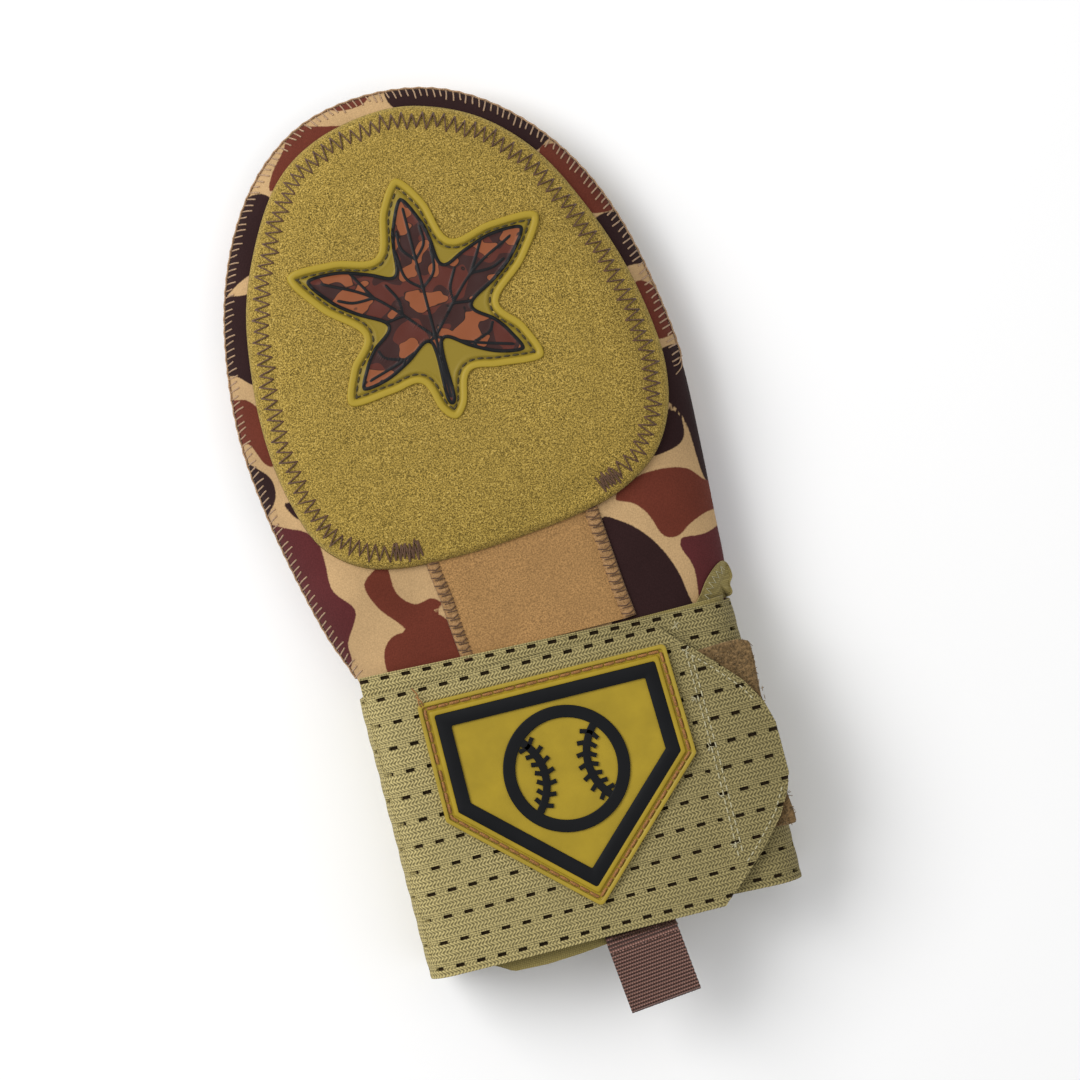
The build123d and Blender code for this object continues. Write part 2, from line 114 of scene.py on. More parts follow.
# Printed camouflage: outlines of each colour's patches on the back of the hand.
DARK_PRINT = [
    [(2, 90), (1, 78), (16, 72), (30, 60), (43, 51), (50, 54), (56, 60), (40, 74), (20, 86)],
    [(-48, 59), (-44, 40), (-55, 36), (-66, 32), (-80, 26), (-78, 44), (-62, 59)],
    [(-66, 28), (-58, 24), (-58, -8), (-69, -3), (-75, 2), (-90, 8), (-84, 30)],
    [(58, 22), (66, 24.5), (80, 20), (78, 6), (66, 4.5), (60, 2), (56, 12)],
    [(66, -27), (78, -27), (84, -50), (78, -76), (73, -72), (71.5, -52), (66, -43), (60, -40), (60, -30)],
    [(60, -46), (68, -47.5), (70.5, -52), (68, -59), (56, -61), (50, -56)],
    [(-84, -26), (-74, -32), (-70.5, -38), (-73, -45), (-84, -50)],
    [(-69, -45), (-66, -46), (-62, -52), (-66, -51)],
    [(34, -78), (41, -79.5), (49, -87), (54.5, -97), (57, -108), (56.5, -122), (30, -122), (33, -98)],
]
RUST_PRINT = [
    [(-34, 90), (-30, 80), (-14, 74), (-30, 66), (-46, 60), (-45, 66), (-38, 76), (-44, 84)],
    [(-24, 90), (-19, 82.5), (-12, 81.3), (-7, 83), (-5, 90)],
    [(46, 50), (52, 52.5), (60, 48), (78, 30), (66, 25), (56, 26), (48, 34)],
    [(66, -2), (72, -3), (82, -16), (74, -22), (66, -21), (62, -10)],
    [(-84, -4), (-77, -6), (-70, -10), (-60, -30), (-68, -32), (-72, -30), (-76, -22), (-84, -20)],
    [(-49, -80), (-46, -76), (-40, -74), (-39, -84), (-34, -89.5), (-28, -89), (-25, -91), (-25.5, -93),
     (-28, -93.5), (-24, -98), (-22, -106), (-21, -122), (-40, -122), (-48, -112), (-48, -103),
     (-44, -98.5), (-39, -97.5), (-41, -94), (-46, -88)],
    [(41, -71.5), (50, -66.5), (60, -66), (68, -68), (73, -73), (80, -76), (80, -83), (71, -84),
     (64, -86.5), (59, -89.5), (54, -88), (51, -80), (47, -75)],
]
MAROON_PRINT = [
    [(-84, -54), (-68, -54.5), (-61, -60), (-60, -68), (-60, -78), (-54.5, -85), (-54.5, -89),
     (-59.5, -97), (-62, -106), (-84, -110)],
    [(84, -90), (68, -91), (60, -90.5), (59, -94), (61.5, -102), (61.8, -122), (84, -122)],
]

# The crest: spokes of the right half of its patch and of the leaf on it, as degrees and mm from
# the crest's centre.
CREST_X, CREST_Y = -4.0, 5.5
PATCH_SPOKES = [
    (90, 47), (78, 38), (60, 26), (42, 37), (28, 50), (14, 37), (-6, 24), (-22, 33), (-36, 42),
    (-52, 31), (-70, 25), (-82, 34), (-90, 38),
]
LEAF_SPOKES = [
    (90, 40), (80, 31), (74, 25), (60, 17), (47, 24), (38, 34), (28, 43), (19, 34), (11, 25), (-6, 15),
    (-20, 23), (-28, 29), (-36, 35), (-45, 28), (-55, 19), (-72, 11), (-84, 15), (-87, 31),
]


def mirrored(spokes):
    """A closed outline, the same on both sides of its upright middle, from its right half's spokes."""
    right = [(reach * math.cos(math.radians(turn)), reach * math.sin(math.radians(turn)))
             for turn, reach in spokes]
    return right + [(-x, y) for x, y in reversed(right) if x > 0.1]


PATCH_EDGE, LEAF_EDGE = mirrored(PATCH_SPOKES), mirrored(LEAF_SPOKES)
HALF_VEINS = [
    [(0, -9), (17, 9), (33, 18)], [(0, -9), (12, -14), (25, -18)], [(0, 8), (5, 13), (6, 22)],
    [(0, 18), (4, 23), (4, 29)], [(9, 0.5), (17, 0), (22, 4)], [(17, 9), (20, 14), (24, 21)],
    [(17, 9), (24, 9), (29, 11)], [(12, -14), (14, -19), (16, -22)],
    [(12, -14), (18, -12), (20, -9)], [(9, 0.5), (9, 6), (12, 12)],
]
LEAF_VEINS = [[(0, -30), (0, -9), (0, 36)], *HALF_VEINS, *[[(-x, y) for x, y in run] for run in HALF_VEINS]]


class MittSizes(bpy.types.PropertyGroup):
    """Sizes that change the look of the mitt without touching its frame, in mm."""

    zigzag_pitch: bpy.props.FloatProperty(
        name="Zigzag pitch", description="Length of one zigzag along the pad's edge, mm",
        default=3.9, min=1.0, max=10.0)
    overlock_pitch: bpy.props.FloatProperty(
        name="Overlock pitch", description="Distance between edge stitches, mm",
        default=2.35, min=1.0, max=8.0)
    thread_radius: bpy.props.FloatProperty(
        name="Thread radius", description="Radius of the sewing thread, mm",
        default=0.28, min=0.05, max=1.0)
    slot_length: bpy.props.FloatProperty(
        name="Slot length", description="Length of one slot in the elastic, mm",
        default=3.0, min=0.5, max=6.0)
    slot_height: bpy.props.FloatProperty(
        name="Slot height", description="Height of one slot in the elastic, mm",
        default=1.3, min=0.3, max=4.0)
    slot_pitch: bpy.props.FloatProperty(
        name="Slot pitch", description="Distance between slots in a row, mm",
        default=7.25, min=4.0, max=20.0)
    row_pitch: bpy.props.FloatProperty(
        name="Row pitch", description="Distance between rows of slots, mm",
        default=8.5, min=4.0, max=20.0)
    rib_pitch: bpy.props.FloatProperty(
        name="Webbing rib", description="Distance between the tab's ribs, mm",
        default=1.15, min=0.5, max=4.0)


def swatch(label, words, colour):
    """One colour property."""
    return bpy.props.FloatVectorProperty(
        name=label, description=words, subtype="COLOR", size=3, min=0.0, max=1.0, default=colour)


class MittColours(bpy.types.PropertyGroup):
    """Colours of the cloth, rubber and thread."""

    pad: swatch("Pad", "Brushed pile of the pads", (0.338, 0.231, 0.050))
    camo_tan: swatch("Camo tan", "Ground of the print", (0.49, 0.32, 0.158))
    camo_dark: swatch("Camo dark", "Darkest colour of the print", (0.026, 0.011, 0.011))
    camo_rust: swatch("Camo rust", "Red brown of the print", (0.135, 0.031, 0.018))
    camo_maroon: swatch("Camo maroon", "Maroon of the print", (0.095, 0.021, 0.022))
    gusset: swatch("Gusset", "Stretch cloth on the back", (0.345, 0.19, 0.071))
    elastic: swatch("Elastic", "Perforated strap", (0.405, 0.335, 0.145))
    sleeve: swatch("Sleeve", "Cuff under the strap", (0.315, 0.252, 0.088))
    badge: swatch("Badge", "Yellow rubber", (0.355, 0.247, 0.016))
    rim: swatch("Badge rim", "Brighter edge of the badge", (0.365, 0.262, 0.028))
    black: swatch("Black", "Dark rubber", (0.0075, 0.008, 0.009))
    crest: swatch("Crest", "Olive yellow rubber", (0.345, 0.245, 0.026))
    thread: swatch("Thread", "Brown sewing thread", (0.105, 0.05, 0.024))
    tan_thread: swatch("Tan thread", "Light sewing thread", (0.40, 0.25, 0.14))
    webbing: swatch("Webbing", "Brown pull tab", (0.205, 0.085, 0.060))
    lining: swatch("Lining", "Inner jersey", (0.035, 0.025, 0.02))
    loops: swatch("Loops", "Loop and hook panels", (0.20, 0.125, 0.055))


def sizes():
    return bpy.context.scene.mitt_sizes


def colours():
    return bpy.context.scene.mitt_colours


# ---- Curves in the plane, mm ---------------------------------------------------------------
def smooth(points, closed=True, steps=8):
    """A smooth curve through a few chosen points."""
    p = np.array(points, float)
    around = np.vstack([p[-1], p, p[:2]]) if closed else np.vstack([2 * p[0] - p[1], p, 2 * p[-1] - p[-2]])
    a, b, c, d = around[:-3], around[1:-2], around[2:-1], around[3:]
    t = (np.arange(steps) / steps)[None, :, None]
    a, b, c, d = (q[:, None, :] for q in (a, b, c, d))
    run = 0.5 * (2 * b + (c - a) * t + (2 * a - 5 * b + 4 * c - d) * t**2 + (3 * b - a - 3 * c + d) * t**3)
    run = run.reshape(-1, p.shape[1])
    return run if closed else np.vstack([run, p[-1]])


def lengths(curve):
    """Distance along a curve at each of its points."""
    return np.concatenate([[0], np.cumsum(np.linalg.norm(np.diff(curve, axis=0), axis=1))])


def along(curve, places, values=None):
    """Points of a curve, or values kept at its points, at given distances along it."""
    run = lengths(curve)
    values = curve if values is None else values
    return np.stack([np.interp(places, run, values[:, axis]) for axis in range(values.shape[1])], axis=1)


def even(curve, spacing, closed=False):
    """The same curve with its points evenly spaced."""
    if closed:
        curve = np.vstack([curve, curve[:1]])
    total = lengths(curve)[-1]
    count = max(2, int(round(total / spacing)))
    points = along(curve, np.linspace(0, total, count + 1))
    return points[:-1] if closed else points


def outward(curve, closed=True):
    """Unit normals of a curve, pointing to its left as it runs."""
    if closed:
        step = np.roll(curve, -1, axis=0) - np.roll(curve, 1, axis=0)
    else:
        step = np.gradient(curve, axis=0)
    normal = np.stack([-step[:, 1], step[:, 0]], axis=1)
    return normal / np.maximum(np.linalg.norm(normal, axis=1, keepdims=True), 1e-9)


def area_sign(loop):
    """1 for a loop that runs anticlockwise, -1 for a clockwise one."""
    x, y = loop[:, 0], loop[:, 1]
    return 1 if np.sum(x * np.roll(y, -1) - y * np.roll(x, -1)) > 0 else -1


def set_in(loop, amount):
    """A closed loop moved inwards."""
    return loop + area_sign(loop) * amount * outward(loop)


def distance(points, curve, closed=False):
    """Distance from each point to a curve."""
    curve = np.vstack([curve, curve[:1]]) if closed else curve
    start, run = curve[:-1], np.diff(curve, axis=0)
    best = np.full(len(points), 1e9)
    square = np.maximum((run**2).sum(axis=1), 1e-12)
    for begin in range(0, len(points), 4000):
        chunk = points[begin:begin + 4000, None, :] - start[None]
        t = np.clip((chunk * run).sum(axis=2) / square, 0, 1)
        gap = np.linalg.norm(chunk - t[..., None] * run, axis=2)
        best[begin:begin + 4000] = gap.min(axis=1)
    return best


def inside(points, loop):
    """Which points lie within a closed loop."""
    after = np.roll(loop, -1, axis=0)
    hits = np.zeros(len(points), int)
    for (x0, y0), (x1, y1) in zip(loop, after):
        crosses = (y0 > points[:, 1]) != (y1 > points[:, 1])
        rise = y1 - y0 if y1 != y0 else 1e-9
        hits += crosses & (points[:, 0] < x0 + (points[:, 1] - y0) * (x1 - x0) / rise)
    return hits % 2 == 1


def depth(points, loop):
    """How far each point lies inside a loop, negative outside it."""
    gap = distance(points, loop, closed=True)
    return np.where(inside(points, loop), gap, -gap)


def ease(t):
    """A smooth step from 0 to 1."""
    t = np.clip(t, 0, 1)
    return t * t * (3 - 2 * t)


def ripple(x, y, wave, seed=0.0):
    """A slow unevenness, from -1 to 1, that repeats exactly on each run."""
    a = np.sin(x / wave * 2.1 + seed) * np.cos(y / wave * 1.7 - seed * 2)
    b = np.sin((x + y) / wave * 1.3 + seed * 3) * np.cos((x - y) / wave * 0.9 + seed)
    return (a + b) / 2


HAND_CURVE = even(smooth(HAND_EDGE, closed=False), 1.6)
PAD_CURVE = even(smooth(PAD_EDGE), 1.5, closed=True)


# ---- Heights of the soft surfaces, mm ------------------------------------------------------
def along_hand(y):
    """0 at the wrist seam, 1 at the fingertips."""
    return np.clip((y - WRIST_Y) / (TIP_Y - WRIST_Y), 0, 1)


def dome(gap):
    """Rise of a padded half from its seam towards its middle."""
    return (1 - (1 - np.clip(gap / DOME_REACH, 0, 1)) ** 2.2) ** 0.62


def seam_height(y):
    return WRIST_SEAM + (TIP_SEAM - WRIST_SEAM) * along_hand(y)


def back_height(points, inset=0.0):
    """Height of the back of the hand, or of a layer under it."""
    y = points[:, 1]
    gap = distance(points, HAND_CURVE) - inset
    full = WRIST_TOP + (TIP_TOP - WRIST_TOP) * along_hand(y) - inset
    return seam_height(y) + (full - seam_height(y)) * dome(gap)


def palm_height(points, inset=0.0):
    """Height of the palm side's outer skin, or of a layer inside it."""
    y = points[:, 1]
    gap = distance(points, HAND_CURVE) - inset
    floor = PALM_FLOOR + (WRIST_FLOOR - PALM_FLOOR) * ease((-80 - y) / 32) + inset
    return seam_height(y) - (seam_height(y) - floor) * dome(gap)


def pad_profile(gap):
    """Thickness of a pad at a distance in from its edge."""
    side = np.sqrt(np.clip(1 - (1 - np.clip(gap / 3.2, 0, 1)) ** 2, 0, 1))
    return side * (0.66 + 0.34 * ease((gap - 2) / 16)) * PAD_THICK


def back_pad_height(points):
    """Height of the back pad's pile."""
    gap = np.maximum(depth(points, PAD_CURVE), 0)
    return back_height(points) + 0.15 + pad_profile(gap)


# ---- Mesh making ---------------------------------------------------------------------------
def deselect():
    if bpy.context.object and bpy.context.object.mode != "OBJECT":
        bpy.ops.object.mode_set(mode="OBJECT")
    bpy.ops.object.select_all(action="DESELECT")


def active(piece):
    deselect()
    piece.select_set(True)
    bpy.context.view_layer.objects.active = piece
    return piece


def named(name):
    piece = bpy.context.object
    piece.name = name
    piece.data.name = name
    return piece


def finish_modifier(piece, kind, **settings):
    """Add a modifier, set it and apply it."""
    active(piece)
    modifier = piece.modifiers.new(kind.title(), kind)
    for key, value in settings.items():
        setattr(modifier, key, value)
    bpy.ops.object.modifier_apply(modifier=modifier.name)
    return piece


def merge(piece, gap=0.01):
    """Join points that lie on each other and turn the faces outwards."""
    active(piece)
    bpy.ops.object.mode_set(mode="EDIT")
    bpy.ops.mesh.select_all(action="SELECT")
    bpy.ops.mesh.remove_doubles(threshold=gap * MM)
    bpy.ops.mesh.normals_make_consistent(inside=False)
    bpy.ops.object.mode_set(mode="OBJECT")
    return piece


def shade(piece, angle=None):
    active(piece)
    if angle is None:
        bpy.ops.object.shade_smooth()
    else:
        bpy.ops.object.shade_smooth_by_angle(angle=math.radians(angle))
    return piece


def points_of(piece):
    """A piece's points, in mm."""
    flat = np.empty(len(piece.data.vertices) * 3)
    piece.data.vertices.foreach_get("co", flat)
    return flat.reshape(-1, 3) / MM


def set_points(piece, points):
    piece.data.vertices.foreach_set("co", (np.asarray(points, float) * MM).ravel())
    piece.data.update()


def mark(piece, name, values):
    """Store one number for each point of a piece."""
    layer = piece.data.attributes.new(name, "FLOAT", "POINT")
    layer.data.foreach_set("value", np.asarray(values, np.float32))


def cloth_grid(name, columns, rows, place):
    """A sheet of cloth: a grid whose points are placed by their column and row."""
    deselect()
    bpy.ops.mesh.primitive_grid_add(x_subdivisions=columns, y_subdivisions=rows, size=1)
    piece = named(name)
    across = np.tile(np.arange(columns + 1), rows + 1)
    up = np.repeat(np.arange(rows + 1), columns + 1)
    set_points(piece, place(across, up))
    return piece


def rings(name, loops, closed=True):
    """A skin over loops of 3D points that all have the same count, from the outside in."""
    stack = np.array(loops)
    count = stack.shape[1]

    def place(across, up):
        return stack[up, across % count]

    return cloth_grid(name, count if closed else count - 1, len(stack) - 1, place)


def fill_middle(piece, pick):
    """Close a piece's open edge where a test on its points says so."""
    active(piece)
    bpy.ops.object.mode_set(mode="EDIT")
    bpy.ops.mesh.select_mode(type="VERT")
    bpy.ops.mesh.select_all(action="DESELECT")
    bpy.ops.object.mode_set(mode="OBJECT")
    piece.data.vertices.foreach_set("select", pick(points_of(piece)))
    bpy.ops.object.mode_set(mode="EDIT")
    bpy.ops.mesh.fill(use_beauty=True)
    bpy.ops.object.mode_set(mode="OBJECT")
    return piece


def tubes(name, runs, radius, sides=1, closed=False):
    """Lengths of thread or cord as one mesh of tubes."""
    deselect()
    curve = bpy.data.curves.new(name, "CURVE")
    curve.dimensions = "3D"
    curve.bevel_depth = radius * MM
    curve.bevel_resolution = sides
    curve.use_fill_caps = True
    for run in runs:
        spline = curve.splines.new("POLY")
        spline.points.add(len(run) - 1)
        flat = np.ones((len(run), 4))
        flat[:, :3] = np.asarray(run) * MM
        spline.points.foreach_set("co", flat.ravel())
        spline.use_cyclic_u = closed
    piece = bpy.data.objects.new(name, curve)
    bpy.context.collection.objects.link(piece)
    active(piece)
    bpy.ops.object.convert(target="MESH")
    return shade(named(name))


def dress(piece, body, material, slot, *nodes):
    """Give a piece its material and its body, and hide the frame nodes that it stands for. The slot is not
    used.
    """
    piece.data.materials.clear()
    piece.data.materials.append(material)
    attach(piece, body)
    if nodes:
        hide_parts(*nodes)
    return piece


# ---- Materials -----------------------------------------------------------------------------
class Sock:
    """One output of a shader node. Sums on it add Math nodes."""

    def __init__(self, finish, socket):
        self.finish, self.socket = finish, socket

    def sum(self, operation, first, second):
        return self.finish.node("ShaderNodeMath", {"operation": operation}, {0: first, 1: second})

    def __add__(self, other):
        return self.sum("ADD", self, other)

    def __radd__(self, other):
        return self.sum("ADD", other, self)

    def __sub__(self, other):
        return self.sum("SUBTRACT", self, other)

    def __rsub__(self, other):
        return self.sum("SUBTRACT", other, self)

    def __mul__(self, other):
        return self.sum("MULTIPLY", self, other)

    def __rmul__(self, other):
        return self.sum("MULTIPLY", other, self)

    def __truediv__(self, other):
        return self.sum("DIVIDE", self, other)

    def __pow__(self, other):
        return self.sum("POWER", self, other)

    def __mod__(self, other):
        return self.sum("FLOORED_MODULO", self, other)

    def __gt__(self, other):
        return self.sum("GREATER_THAN", self, other)


class Finish:
    """A material that is put together node by node."""

    def __init__(self, name, roughness=0.8, specular=0.25, sheen=0.0, sheen_tint=None):
        self.material = bpy.data.materials.new(name)
        self.material.use_nodes = True
        self.tree = self.material.node_tree
        self.shader = self.tree.nodes["Principled BSDF"]
        self.shader.inputs["Roughness"].default_value = roughness
        self.shader.inputs["Specular IOR Level"].default_value = specular
        self.shader.inputs["Sheen Weight"].default_value = sheen
        self.shader.inputs["Sheen Roughness"].default_value = 0.5
        if sheen_tint:
            self.shader.inputs["Sheen Tint"].default_value = (*sheen_tint, 1)

    def node(self, kind, settings=None, inputs=None, output=0):
        """Add a node with its settings first, then the values or links of its sockets."""
        made = self.tree.nodes.new(kind)
        for key, value in (settings or {}).items():
            if key == "stops":
                ramp = made.color_ramp
                while len(ramp.elements) < len(value):
                    ramp.elements.new(0.5)
                for element, (place, colour) in zip(ramp.elements, value):
                    element.position = place
                    element.color = (*colour, 1)
            else:
                setattr(made, key, value)
        for key, value in (inputs or {}).items():
            if isinstance(value, Sock):
                self.tree.links.new(value.socket, made.inputs[key])
            else:
                made.inputs[key].default_value = value
        return Sock(self, made.outputs[output])

    def place(self):
        """Object coordinates, in mm."""
        here = self.node("ShaderNodeTexCoord", output="Object")
        return self.node("ShaderNodeVectorMath", {"operation": "SCALE"}, {0: here, "Scale": 1 / MM})

    def flat(self):
        """The piece's own flat coordinates, in mm."""
        return self.node("ShaderNodeUVMap", {"uv_map": "Cloth"})

    def parts(self, vector):
        """The three numbers of a vector."""
        split = self.node("ShaderNodeSeparateXYZ", inputs={0: vector})
        return [Sock(self, out) for out in split.socket.node.outputs]

    def join(self, x, y, z=0.0):
        return self.node("ShaderNodeCombineXYZ", inputs={0: x, 1: y, 2: z})

    def noise(self, vector, size, detail=2.0, stretch=None):
        """Uneven spots about as large as size, in mm, from 0 to 1."""
        if stretch:
            vector = self.node("ShaderNodeVectorMath", {"operation": "MULTIPLY"}, {0: vector, 1: stretch})
        return self.node("ShaderNodeTexNoise", {}, {"Vector": vector, "Scale": 1 / size, "Detail": detail})

    def cells(self, vector, size):
        """Distance from the middle of small cells, from 0 to about 1."""
        return self.node("ShaderNodeTexVoronoi", {}, {"Vector": vector, "Scale": 1 / size})

    def wave(self, number, pitch):
        """A smooth up and down of a number, from 0 to 1."""
        turn = number * (2 * math.pi / pitch)
        return self.node("ShaderNodeMath", {"operation": "SINE"}, {0: turn}) * 0.5 + 0.5

    def spread(self, value, low, high, to_low=0.0, to_high=1.0):
        """A number's range moved to another range, and kept there."""
        return self.node("ShaderNodeMapRange", {"clamp": True}, {
            "Value": value, "From Min": low, "From Max": high, "To Min": to_low, "To Max": to_high})

    def near(self, value, middle, half):
        """1 at a number's middle, falling to 0 at half away."""
        away = self.node("ShaderNodeMath", {"operation": "ABSOLUTE"}, {0: value - middle})
        return self.spread(away, 0.0, half, 1.0, 0.0)

    def mix(self, share, first, second, blend="MIX"):
        """One colour laid over another."""
        colour = [value if isinstance(value, Sock) else (*value, 1) for value in (first, second)]
        return self.node("ShaderNodeMix", {"data_type": "RGBA", "blend_type": blend}, {
            0: share, 6: colour[0], 7: colour[1]}, output=2)

    def mark(self, name):
        """A number stored at the piece's points."""
        return self.node("ShaderNodeAttribute", {"attribute_name": name}, output="Fac")

    def done(self, colour=None, roughness=None, height=None, depth_mm=0.1, strength=1.0):
        """Link the varying inputs and hand over the material."""
        if colour is not None:
            self.tree.links.new(colour.socket, self.shader.inputs["Base Color"])
        if roughness is not None:
            self.tree.links.new(roughness.socket, self.shader.inputs["Roughness"])
        if height is not None:
            bump = self.node("ShaderNodeBump", {}, {
                "Height": height, "Distance": depth_mm * MM, "Strength": strength})
            self.tree.links.new(bump.socket, self.shader.inputs["Normal"])
        return self.material


def tint(colour, share):
    """A colour made lighter or darker."""
    return tuple(float(min(1.0, channel * share)) for channel in colour)


def finish_once(make):
    """Keep a finish, so that pieces of the same stuff share it."""
    def get():
        name = "finish_" + make.__name__
        return bpy.data.materials.get(name) or make(name)
    return get


@finish_once
def camo_jersey(name):
    """Printed jersey bonded to neoprene."""
    f = Finish(name, roughness=0.88, specular=0.09, sheen=0.03)
    place = f.place()
    c = colours()
    cloud = f.spread(f.noise(place, 22.0), 0.3, 0.7, 0.88, 1.08)
    grain = f.spread(f.noise(place, 0.55, 3.0), 0.3, 0.7, 0.86, 1.12)
    colour = f.mix(0.0, tuple(c.camo_tan), tuple(c.camo_tan))
    for mark_name, ink in (("dark", c.camo_dark), ("rust", c.camo_rust), ("maroon", c.camo_maroon)):
        fuzz = (f.noise(place, 0.7) - 0.5) * 0.5
        cover = f.spread(f.mark(mark_name) + fuzz, -0.2, 0.2)
        colour = f.mix(cover, colour, tuple(ink))
    shade_by = f.join(cloud * grain, cloud * grain, cloud * grain)
    colour = f.mix(1.0, colour, shade_by, "MULTIPLY")
    x, y, _ = f.parts(place)
    knit = f.wave(x + f.noise(place, 3.0) * 0.6, 0.62) * 0.5 + f.wave(y, 0.5) * 0.5
    return f.done(colour, None, knit * 0.5 + f.noise(place, 0.4, 3.0), 0.16, 0.55)


@finish_once
def pad_pile(name):
    """Brushed loop pile of the pads."""
    f = Finish(name, roughness=0.95, specular=0.05, sheen=0.18, sheen_tint=(1.0, 0.9, 0.5))
    place = f.place()
    base = tuple(colours().pad)
    fine = f.noise(place, 0.3, 3.0)
    tuft = f.noise(place, 0.5, 2.0)
    cloud = f.noise(place, 24.0, 2.0)
    speck = f.spread(fine * 0.5 + tuft * 0.5, 0.41, 0.59)
    colour = f.mix(speck, tint(base, 0.30), tint(base, 1.66))
    glint = f.spread(f.noise(place, 0.5, 2.0), 0.62, 0.74)
    colour = f.mix(glint * 0.65, colour, (0.72, 0.57, 0.22))
    # Painted shade: dark spots that stand for shadow in hollows of the pile.
    pile_hollow_shade = f.spread(f.noise(place, 0.8, 2.0), 0.3, 0.4, 1.0, 0.0)
    colour = f.mix(pile_hollow_shade * 0.65, colour, tint(base, 0.22))
    colour = f.mix(f.spread(cloud, 0.35, 0.65) * 0.2, colour, tint(base, 0.8))
    return f.done(colour, None, fine * 0.5 + tuft * 0.8, 0.5, 0.9)


@finish_once
def gusset_stretch(name):
    """Brushed stretch cloth."""
    f = Finish(name, roughness=0.9, specular=0.12, sheen=0.25, sheen_tint=(1.0, 0.85, 0.6))
    place = f.place()
    base = tuple(colours().gusset)
    fine = f.noise(place, 0.5, 3.0)
    colour = f.mix(f.spread(fine, 0.35, 0.68), tint(base, 0.66), tint(base, 1.38))
    colour = f.mix(f.spread(f.noise(place, 13.0), 0.4, 0.7) * 0.3, colour, tint(base, 0.78))
    return f.done(colour, None, fine + f.noise(place, 2.4) * 0.5, 0.2, 0.7)


def knit_of(f, base):
    """Colour and height of knitted elastic: slanted stitches in bands, with ribs by each slot row."""
    flat = f.flat()
    along_it, across_it, _ = f.parts(flat)
    row = sizes().row_pitch
    band = across_it % row
    course = 1.44
    lean = f.wave(across_it, course * 2) * 1.25
    stitch = f.wave(along_it + lean + f.noise(flat, 2.6) * 0.5, 1.22)
    gap = f.wave(across_it + course * 0.5, course)
    rib = f.near(band, 0.65, 1.7) + f.near(band, row + 0.1, 1.2)
    cord = f.wave(across_it, 0.75)
    weft = f.wave(along_it, 0.9)
    knit = stitch * 0.62 + gap * 0.38
    fuzz = (f.noise(flat, 0.45, 3.0) - 0.5) * 0.45
    height = knit * (1 - rib * 0.8) + (cord * 0.5 + weft * 0.3) * rib + fuzz
    share = f.spread(height, 0.22, 0.78)
    colour = f.mix(share, tint(base, 0.34), tint(base, 1.42))
    tick = f.spread(f.noise(flat, 1.5, 2.0, (2.6, 0.62, 1.0)), 0.6, 0.7)
    colour = f.mix(tick * 0.55, colour, tint(base, 0.3))
    shine = f.spread(f.noise(flat, 1.2, 2.0, (1.0, 2.2, 1.0)), 0.58, 0.72)
    colour = f.mix(shine * 0.5, colour, tint(base, 2.1))
    colour = f.mix(f.spread(f.noise(flat, 18.0), 0.3, 0.7) * 0.25, colour, tint(base, 0.75))
    # Painted shade: the elastic is made darker towards its right side, where the light falls off.
    side, _, _ = f.parts(f.place())
    light_falloff_shade = f.spread(side, -50.0, 75.0, 1.05, 0.62)
    colour = f.mix(1.0, colour, f.join(light_falloff_shade, light_falloff_shade, light_falloff_shade), "MULTIPLY")
    return colour, height


@finish_once
def olive_elastic(name):
    """Perforated knitted elastic."""
    f = Finish(name, roughness=0.85, specular=0.12, sheen=0.03)
    colour, height = knit_of(f, tuple(colours().elastic))
    return f.done(colour, None, height, 0.35, 1.0)


@finish_once
def elastic_back(name):
    """Painted shade: a near-black sheet just under the elastic that stands for the shadow seen through its
    slots.
    """
    f = Finish(name, roughness=0.9, specular=0.1)
    place = f.place()
    colour = f.mix(f.noise(place, 1.2), (0.012, 0.008, 0.006), (0.055, 0.035, 0.016))
    return f.done(colour, None, f.noise(place, 0.5), 0.2, 0.5)


@finish_once
def olive_sleeve(name):
    """Tightly woven olive cloth."""
    f = Finish(name, roughness=0.88, specular=0.15, sheen=0.1)
    place = f.place()
    base = tuple(colours().sleeve)
    x, y, z = f.parts(place)
    weave = f.wave(x + z, 0.7) * f.wave(y, 0.6)
    share = f.spread(weave * 0.6 + f.noise(place, 0.5) * 0.6, 0.2, 0.8)
    colour = f.mix(share, tint(base, 0.65), tint(base, 1.2))
    return f.done(colour, None, weave + f.noise(place, 0.5) * 0.6, 0.15, 0.7)


def rubber(name, base, shine=0.42, specular=0.22):
    """Moulded soft rubber with a faint skin."""
    f = Finish(name, roughness=shine, specular=specular)
    place = f.place()
    colour = f.mix(f.spread(f.noise(place, 9.0, 3.0), 0.3, 0.7), tint(base, 0.9), tint(base, 1.08))
    dust = f.spread(f.noise(place, 0.6, 2.0), 0.66, 0.8) * 0.14
    colour = f.mix(dust, colour, tint(base, 1.5))
    gloss = f.spread(f.noise(place, 4.0, 3.0), 0.3, 0.7, shine - 0.05, shine + 0.09)
    return f.done(colour, gloss, f.noise(place, 0.8, 3.0), 0.03, 0.35)


@finish_once
def yellow_rubber(name):
    """Recessed field and lip of the badge."""
    return rubber(name, tuple(colours().badge), 0.46)


@finish_once
def rim_rubber(name):
    """Brighter edge of the badge."""
    return rubber(name, tuple(colours().rim), 0.4)


@finish_once
def black_rubber(name):
    """Border and mark of the badge."""
    return rubber(name, tuple(colours().black), 0.52, 0.1)


